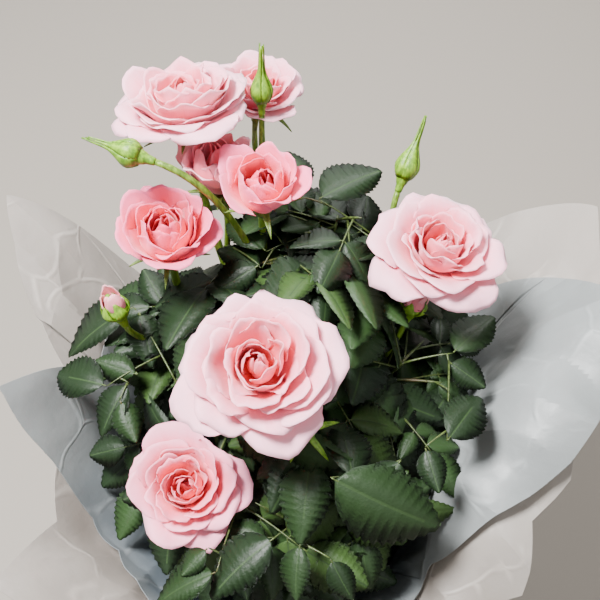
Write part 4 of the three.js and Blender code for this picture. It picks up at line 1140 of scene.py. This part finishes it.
def build_pot(finish):
    """A plain round nursery pot with a straight lip, a foot ring and a rounded rim."""
    rim, neck, base, height = POT["rim"], POT["neck"], POT["base"], POT["height"]
    wall, floor = POT["wall"], POT["floor"]
    low = height - POT["lip"]
    profile = [(0, 2.2), (base - 9, 2.2), (base - 7.5, 0), (base - 1.2, 0), (base, 1.2)]
    profile += [(lerp(base, neck, k / 10), lerp(1.2, low, k / 10)) for k in range(1, 11)]
    profile += [(rim - 0.4, low + 0.3), (rim, low + 1), (rim, height - 1), (rim - 0.9, height),
                (rim - wall + 0.7, height)]
    profile += [(lerp(rim, base, k / 8) - wall, lerp(height - 0.8, floor, k / 8)) for k in range(9)]
    piece = finish_piece("nursery_pot", spun(profile + [(0, floor)]), finish, ["pot"])
    piece.data.set_sharp_from_angle(angle=math.radians(35))


def build_soil(finish):
    """Crumbly soil: a disc of the pot's inside with a lumpy top, and loose crumbs half sunk in it."""
    full = (SOIL_TOP - POT["floor"]) / (POT["height"] - POT["floor"])
    reach = lerp(POT["base"], POT["rim"], full) - POT["wall"] - GAP
    low = POT["base"] - POT["wall"] - GAP
    profile = [(0, POT["floor"] + GAP), (low, POT["floor"] + GAP), (reach, SOIL_TOP - 1.5)]
    profile += [(reach * k / 26, SOIL_TOP - 1.0) for k in range(26, -1, -1)]
    bm = spun(profile)
    for v in bm.verts:
        out = math.hypot(v.co.x, v.co.y)
        if v.co.z > SOIL_TOP - 1.2 and out < reach - 1:
            lumps = 1.4 * noise.noise(v.co * 0.16) + 0.8 * noise.noise(v.co * 0.45)
            v.co.z += lumps * smooth(10, 18, out)
    random = Dice(5)
    noise.seed_set(5)
    for _ in range(150):
        angle, out = 2 * math.pi * random(), reach * math.sqrt(random(0.05, 0.92))
        if out > 15:
            size = random(0.7, 2.2)
            spot = Matrix.Translation(level_way(angle) * out + UP * (SOIL_TOP - 0.4))
            for v in bmesh.ops.create_icosphere(bm, subdivisions=1, radius=size, matrix=spot)["verts"]:
                v.co += noise.noise_vector(v.co * 0.9) * (0.4 * size)
    finish_piece("potting_soil", bm, finish, ["soil"])


def build_crown(finish):
    """The woody crown, lumpy with ridges all round it."""
    bm = bmesh.new()

    def place(angle, share):
        radius = lerp(12, 8.5, smooth(0, 0.35, share)) + lerp(0, -2.2, smooth(0.35, 0.85, share))
        radius *= math.sqrt(max(0.02, 1 - (max(0, share - 0.86) / 0.14) ** 2))
        spot = level_way(angle)
        ridge = 0.9 * noise.noise(Vector((1.6 * spot.x, 1.6 * spot.y, share * 1.4)))
        ridge += 0.4 * noise.noise(Vector((5 * spot.x, 5 * spot.y, share * 3)))
        height = SOIL_TOP + GAP + CROWN["height"] * share
        return spot * (radius + ridge * smooth(0, 0.2, share)) + UP * height

    bent_tube(bm, 40, 26, place)
    finish_piece("crown_bark", bm, finish, ["crown"])


def build_stems(green):
    """The canes with their prickles, the side stalks, and the bare part of each leafy bough, a piece each."""
    random = Dice(31)
    bm = bmesh.new()
    for name, curve in canes.items():
        radius = CANES[name][2]
        limb(bm, curve, 0, 1, (radius, STEM_TIP), 12, 64, 0.09, 0.13, random())
        for k in range(7):
            at = 0.16 + 0.62 * (k + random(0, 0.7)) / 7
            way = curve.way(at)
            out = ring(*square_to(way), 2 * math.pi * random(), 1)
            foot = curve.point(at) + out * lerp(radius, STEM_TIP, at) * 0.9
            prickle(bm, foot, out, way, random(1.6, 2.6))
    finish_piece("flowering_canes", bm, green, list(CANES))
    bm = bmesh.new()
    for curve in stalks.values():
        limb(bm, curve, 0, 1, (1.7, 1.38), 10, 30, 0.08, 0.1, random())
    finish_piece("side_stalks", bm, green, list(STALKS))
    bm = bmesh.new()
    for curve in shoots.values():
        limb(bm, curve, 0, BARE, (1.9, 1.4), 10, 24, 0.1, 0.14, random())
    finish_piece("leafy_boughs", bm, green, ["bough_" + name for name in SHOOTS])


def build_foliage(young_stem):
    """Each mass as two pieces, its leaflets and its twigs, with a few tints of green dealt out by leaf."""
    shapes = [leaflet_shape(26, *shape) for shape in LEAFLET_SHAPES]
    tints = [("leaf_" + name, *values) for name, *values in LEAF_TINTS]
    finishes = [leaf_skin(*values) for values in (*tints, LEAF_RIB, LEAF_UNDER)]
    apart = {name: standing_out(name) for name in shoots}
    for name, curve in shoots.items():
        leaves, twigs = growth(name)
        deal = Dice(SHOOTS[name][2] * 77)
        dealt = [min(len(tints) - 1, int(deal() ** 1.7 * 4.15)) for leaf in leaves + apart[name]]
        dealt[len(leaves):] = [int(deal() * 2) for leaf in apart[name]]
        leaves += apart[name]
        mesh = spray_mesh("leaves_" + name, leaves, shapes, dealt)
        dress("leaves_" + name, mesh, finishes, ["foliage_" + name])
        stems = [(path.start, path.end, TWIG["radius"], 0.03) for path in twigs]
        for leaf in leaves:
            stems.append((leaf["curve"].start, leaf["curve"].end, 0.45, 0.04))
            for leaflet in leaf["leaflets"]:
                root, reach = leaflet["root"], 0.6 + 0.06 * leaflet["size"]
                stems.append((root, root + leaflet["heading"] * reach, 0.36, 0.0))
        shoot = along(curve, BARE, 1, 10)
        stems += [(shoot[k], shoot[k + 1], lerp(1.3, 0.75, k / 10), 0.0) for k in range(10)]
        dress("twigs_" + name, thin_stems("twigs_" + name, stems), [young_stem])


# Wrapping


def fold_at(table, angle):
    """The share of the flare at which a sheet is folded over at a direction, or none outside its table."""
    angle = (angle - table[0][0]) % 360 + table[0][0]
    return reach_at(table, angle) if angle <= table[-1][0] else None


def crease_lines(seed):
    """Straight creases: the middle in degrees and millimetres, way, width, length, height, and out or in."""
    random = Dice(seed)
    lines = []
    for _ in range(CREASES["count"]):
        way = random(0, math.pi)
        middle = (random(0, 360), random(15, 130))
        size = (random(*CREASES["width"]), random(*CREASES["length"]), random(*CREASES["height"]))
        lines.append((*middle, math.cos(way), math.sin(way), *size, 1 if random() < 0.6 else -0.7))
    return lines


def crease_height(lines, angle, along_sheet):
    """How far the creases raise a sheet at a direction, so many millimetres along it."""
    total = -2.5
    for middle, low, way_x, way_y, width, length, height, out_or_in in lines:
        x = ((angle - middle + 180) % 360 - 180) * 1.9
        y = along_sheet - low
        off = abs(x * way_y - y * way_x)
        past = abs(x * way_x + y * way_y)
        if off < width and past < length:
            total += height * out_or_in * (1 - off / width) * smooth(0, 1, 1 - past / length)
    return total


def gathers(turn):
    """How far the ribbon draws the paper in at a direction: many narrow folds side by side."""
    spot = Vector((9 * math.cos(turn), 9 * math.sin(turn), 3.0))
    return 1.9 * min(1.0, 2.4 * abs(noise.noise(spot)) + 0.3 * abs(math.sin(31 * turn)))


def sheet_below_tie(turn, row, down, outside):
    """The radius and height of a sheet on the pot, where down runs from 0 at the tie to 1 at the foot."""
    pleat = SHEET["foot_pleat_depth"] * down * (1 + math.cos(SHEET["foot_pleats"] * turn))
    pleat += 0.5 * down * (1 + noise.noise(level_way(turn) * 6 + UP * (row * 0.16)))
    pleat -= gathers(turn) * (1 - 0.75 * down)
    return (lerp(TIE["radius"], TIE["foot_radius"], down) + pleat + outside,
            lerp(TIE["height"], TIE["foot_height"], down))


def sheet_on_flare(turn, share, outside, lines):
    """A point on the flare, the way along it there, and how far pleats and creases carry a sheet off it."""
    angle = math.degrees(turn)
    pull, end = flare_at(angle)
    radius, height = bezier2(pull, end, share)
    ahead = bezier2(pull, end, share + 0.01)
    spot = level_way(turn)
    crease = 2.6 * noise.noise(spot * 3.1 + UP * (1.6 * share))
    crease += 6 * abs(noise.noise(spot * 4 + UP * (1.7 * share + 4)))
    crease += crease_height(lines, angle, FLARE_LENGTH * share)
    off = outside + SHEET["pleat_depth"] * share * (1 + math.cos(SHEET["pleats"] * turn))
    off += crease * smooth(0.0, 0.5, share) - gathers(turn) * (1 - smooth(0, 0.7, share))
    return radius, height, Vector((ahead[0] - radius, ahead[1] - height)).normalized(), off


def build_sheet(name, node, layer, table, folds, finish):
    """One sheet of paper from the pot's foot, in at the tie and out over the flare to its edge."""
    bm = bmesh.new()
    up, tie_row, fold_row = SHEET_ROWS
    bmesh.ops.create_grid(bm, x_segments=SHEET["columns"], y_segments=up, size=0.5)
    lines = crease_lines(11)
    for v in bm.verts:
        angle = (v.co.x + 0.5) * 360 % 360
        turn = math.radians(angle)
        row = round((v.co.y + 0.5) * up)
        outside = layer * (SHEET["thickness"] + SHEET["layer_gap"]) + SHEET["thickness"] / 2
        if row <= tie_row:
            radius, height = sheet_below_tie(turn, row, 1 - row / tie_row, outside)
            v.co = level_way(turn) * radius + UP * height
            continue
        reach, fold = reach_at(table, angle), fold_at(folds, angle)
        folded = min(fold, reach) if fold else 0.55 * reach
        if row <= fold_row:
            share = folded * (row - tie_row) / (fold_row - tie_row)
        else:
            share = lerp(folded, reach, (row - fold_row - 1) / (up - fold_row - 1))
        outside += layer * SHEET["spread"] * share ** 1.5
        radius, height, way, off = sheet_on_flare(turn, share, outside, lines)
        if fold and row > fold_row and layer == 0:
            edge = min(1.0, 4 * (reach - folded) / reach)
            off -= SHEET["fold_drop"] * edge * (1 - 0.8 * (share - folded) / max(0.05, reach - folded))
            if row == fold_row + 1:
                radius -= way.x * SHEET["fold_step"] * edge
                height -= way.y * SHEET["fold_step"] * edge
        elif fold and row > fold_row:
            off += SHEET["fold_lift"] * (share - folded)
        v.co = level_way(turn) * (radius + way.y * off) + UP * (height - way.x * off)
    bmesh.ops.remove_doubles(bm, verts=bm.verts, dist=0.001)
    thicken(bm, list(bm.faces), SHEET["wall"])
    piece = finish_piece(name, bm, finish, [node])
    piece.data.set_sharp_from_angle(angle=math.radians(SHEET["crease_angle"]))


def ribbon_strip(bm, points, width, steps):
    """A flat length of ribbon along smoothed points, with its width kept upright."""
    def at(share):
        k = share * (len(points) - 1)
        i = min(len(points) - 2, int(k))
        a, b, c, d = points[max(0, i - 1)], points[i], points[i + 1], points[min(len(points) - 1, i + 2)]
        t = k - i
        return 0.5 * (2 * b + (c - a) * t + (2 * a - 5 * b + 4 * c - d) * t * t
                      + (3 * b - a - 3 * c + d) * t ** 3)

    weave = bm.loops.layers.uv.verify()
    spots = {}

    def place(vert):
        t, u = 0.5 + 0.5 * vert.co.x, vert.co.y
        spots[vert] = (t * 8, u * 0.5)
        way = (at(min(1, t + 0.01)) - at(max(0, t - 0.01))).normalized()
        level = face_of(UP, way)
        return at(t) + level * (0.5 * width * u) + way.cross(level) * (0.5 * u * u)

    def weave_on(faces):
        for face in faces:
            for loop in face.loops:
                loop[weave].uv = spots[loop.vert]

    thin_grid(bm, steps, 6, RIBBON["wall"], place, weave_on)


def build_ribbon(finish):
    """A satin ribbon round the tie, with a bow of two loops, two tails and a pinched knot."""
    bm = bmesh.new()
    bm.loops.layers.uv.new("weave")
    inside = TIE["radius"] + 2 * SHEET["thickness"] + SHEET["layer_gap"] + 1.0
    broad, reach, rise, drop = [RIBBON[key] for key in ("height", "loop_reach", "loop_height", "tail_drop")]
    middle = TIE["height"] - RIBBON["below_tie"] - broad / 2
    out = level_way(math.radians(RIBBON["bow_angle"]))
    aside = Vector((-out.y, out.x, 0))

    def place(outward, sideways, up):
        return out * (inside + outward) + aside * sideways + UP * (middle + up)

    turns = [2 * math.pi * k / 48 for k in range(49)]
    band = [level_way(turn) * inside + UP * (middle + 0.5 * math.sin(3 * turn)) for turn in turns]
    ribbon_strip(bm, band, broad, 144)
    for side in (-1, 1):
        loop = [(3.5, 2, 1), (9, 0.45 * reach, rise), (17, 0.94 * reach, 4), (14, reach, 0),
                (9, 0.5 * reach, -6), (3.5, 2, -2)]
        tail = [(4.5, 3, 0), (10, 13, -0.3 * drop), (9, 24, -0.94 * drop)]
        for route, steps in ((loop, 40), (tail, 30)):
            route = [place(outward, side * sideways, up) for outward, sideways, up in route]
            ribbon_strip(bm, route, broad, steps)
    knot = bmesh.new()
    bmesh.ops.create_cube(knot, size=1)
    bmesh.ops.subdivide_edges(knot, edges=knot.edges, cuts=6, use_grid_fill=True)
    for v in knot.verts:
        p = v.co.lerp(v.co.normalized() * 0.62, 0.55)
        pinch = 1 - 0.16 * math.cos(2 * math.pi * p.y * 1.6)
        v.co = place(4.6 + 9.5 * p.x * pinch, 12 * p.y, 12.5 * p.z * pinch)
    take_in(bm, knot)
    finish_piece("satin_ribbon", bm, finish, ["ribbon"])


# The whole scene


def build_stage():
    """A plain pale floor, a soft world, and three soft lights."""
    ground = bmesh.new()
    bmesh.ops.create_grid(ground, x_segments=2, y_segments=2, size=14)
    mesh = bpy.data.meshes.new("floor")
    ground.to_mesh(mesh)
    ground.free()
    mesh.materials.append(Finish("pale_floor", srgb(142, 135, 126), Roughness=0.8).material)
    add_to_scene("floor", mesh)
    world = bpy.data.worlds.new("studio")
    world.use_nodes = True
    background = world.node_tree.nodes["Background"]
    background.inputs["Color"].default_value = (1.0, 0.98, 0.95, 1)
    background.inputs["Strength"].default_value = 0.28
    bpy.context.scene.world = world
    for name, (place, size, power) in LIGHTS.items():
        light = bpy.data.lights.new(name, "AREA")
        light.size = size
        light.energy = power
        lamp = add_to_scene(name, light, place)
        lamp.rotation_euler = (Vector((0, 0, 0.2)) - Vector(place)).to_track_quat("-Z", "Y").to_euler()


def build_camera():
    lens = bpy.data.cameras.new("camera")
    lens.sensor_width = 36
    lens.lens = 60
    camera = add_to_scene("camera", lens, (0, -0.289, 0.615))
    camera.rotation_euler = (math.radians(40), 0, 0)
    bpy.context.scene.camera = camera


build_camera()
build_stage()
bud_green = green_stem("bud_green", (78, 118, 18), (128, 168, 36), (96, 118, 34))
calyx_green = green_stem("calyx_green", (72, 96, 34), (112, 138, 58), (110, 92, 54))
open_petals = petal_skin("open_petals", (246, 64, 76), (252, 122, 143), (255, 180, 198))
rosy_petals = petal_skin("rosy_petals", (246, 54, 72), (252, 98, 124), (255, 158, 182))
cup_petals = petal_skin("cup_petals", (244, 44, 70), (250, 66, 108), (254, 112, 152))
pink_petals = petal_skin("bud_petals", (222, 92, 104), (234, 124, 138), (242, 160, 170))

build_pot(charcoal_plastic())
build_soil(potting_soil())
build_crown(woody_bark())
build_stems(green_stem("green_stem", (76, 104, 26), (124, 156, 46), (112, 92, 42)))
deeper = dict(bloom_left=cup_petals, bloom_cup=cup_petals, bloom_lower_left=rosy_petals)
for name in BLOOMS:
    build_bloom(name, deeper.get(name, open_petals), calyx_green)
for name in BUDS:
    build_bud(name, bud_green, pink_petals)
build_foliage(green_stem("young_stem", (48, 58, 26), (76, 92, 42), (84, 52, 34)))
# Each paper's second colour is its painted shade, which darkens the sheet towards the foot.
build_sheet("inner_paper", "paper_inner", 0, INNER_REACH, INNER_FOLD,
            waxed_paper("inner_paper", (122, 126, 126), (90, 99, 106), 0.46))
build_sheet("outer_paper", "paper_outer", 1, OUTER_REACH, OUTER_FOLD,
            waxed_paper("outer_paper", (148, 141, 134), (118, 109, 102), 0.52))
build_ribbon(satin_ribbon())
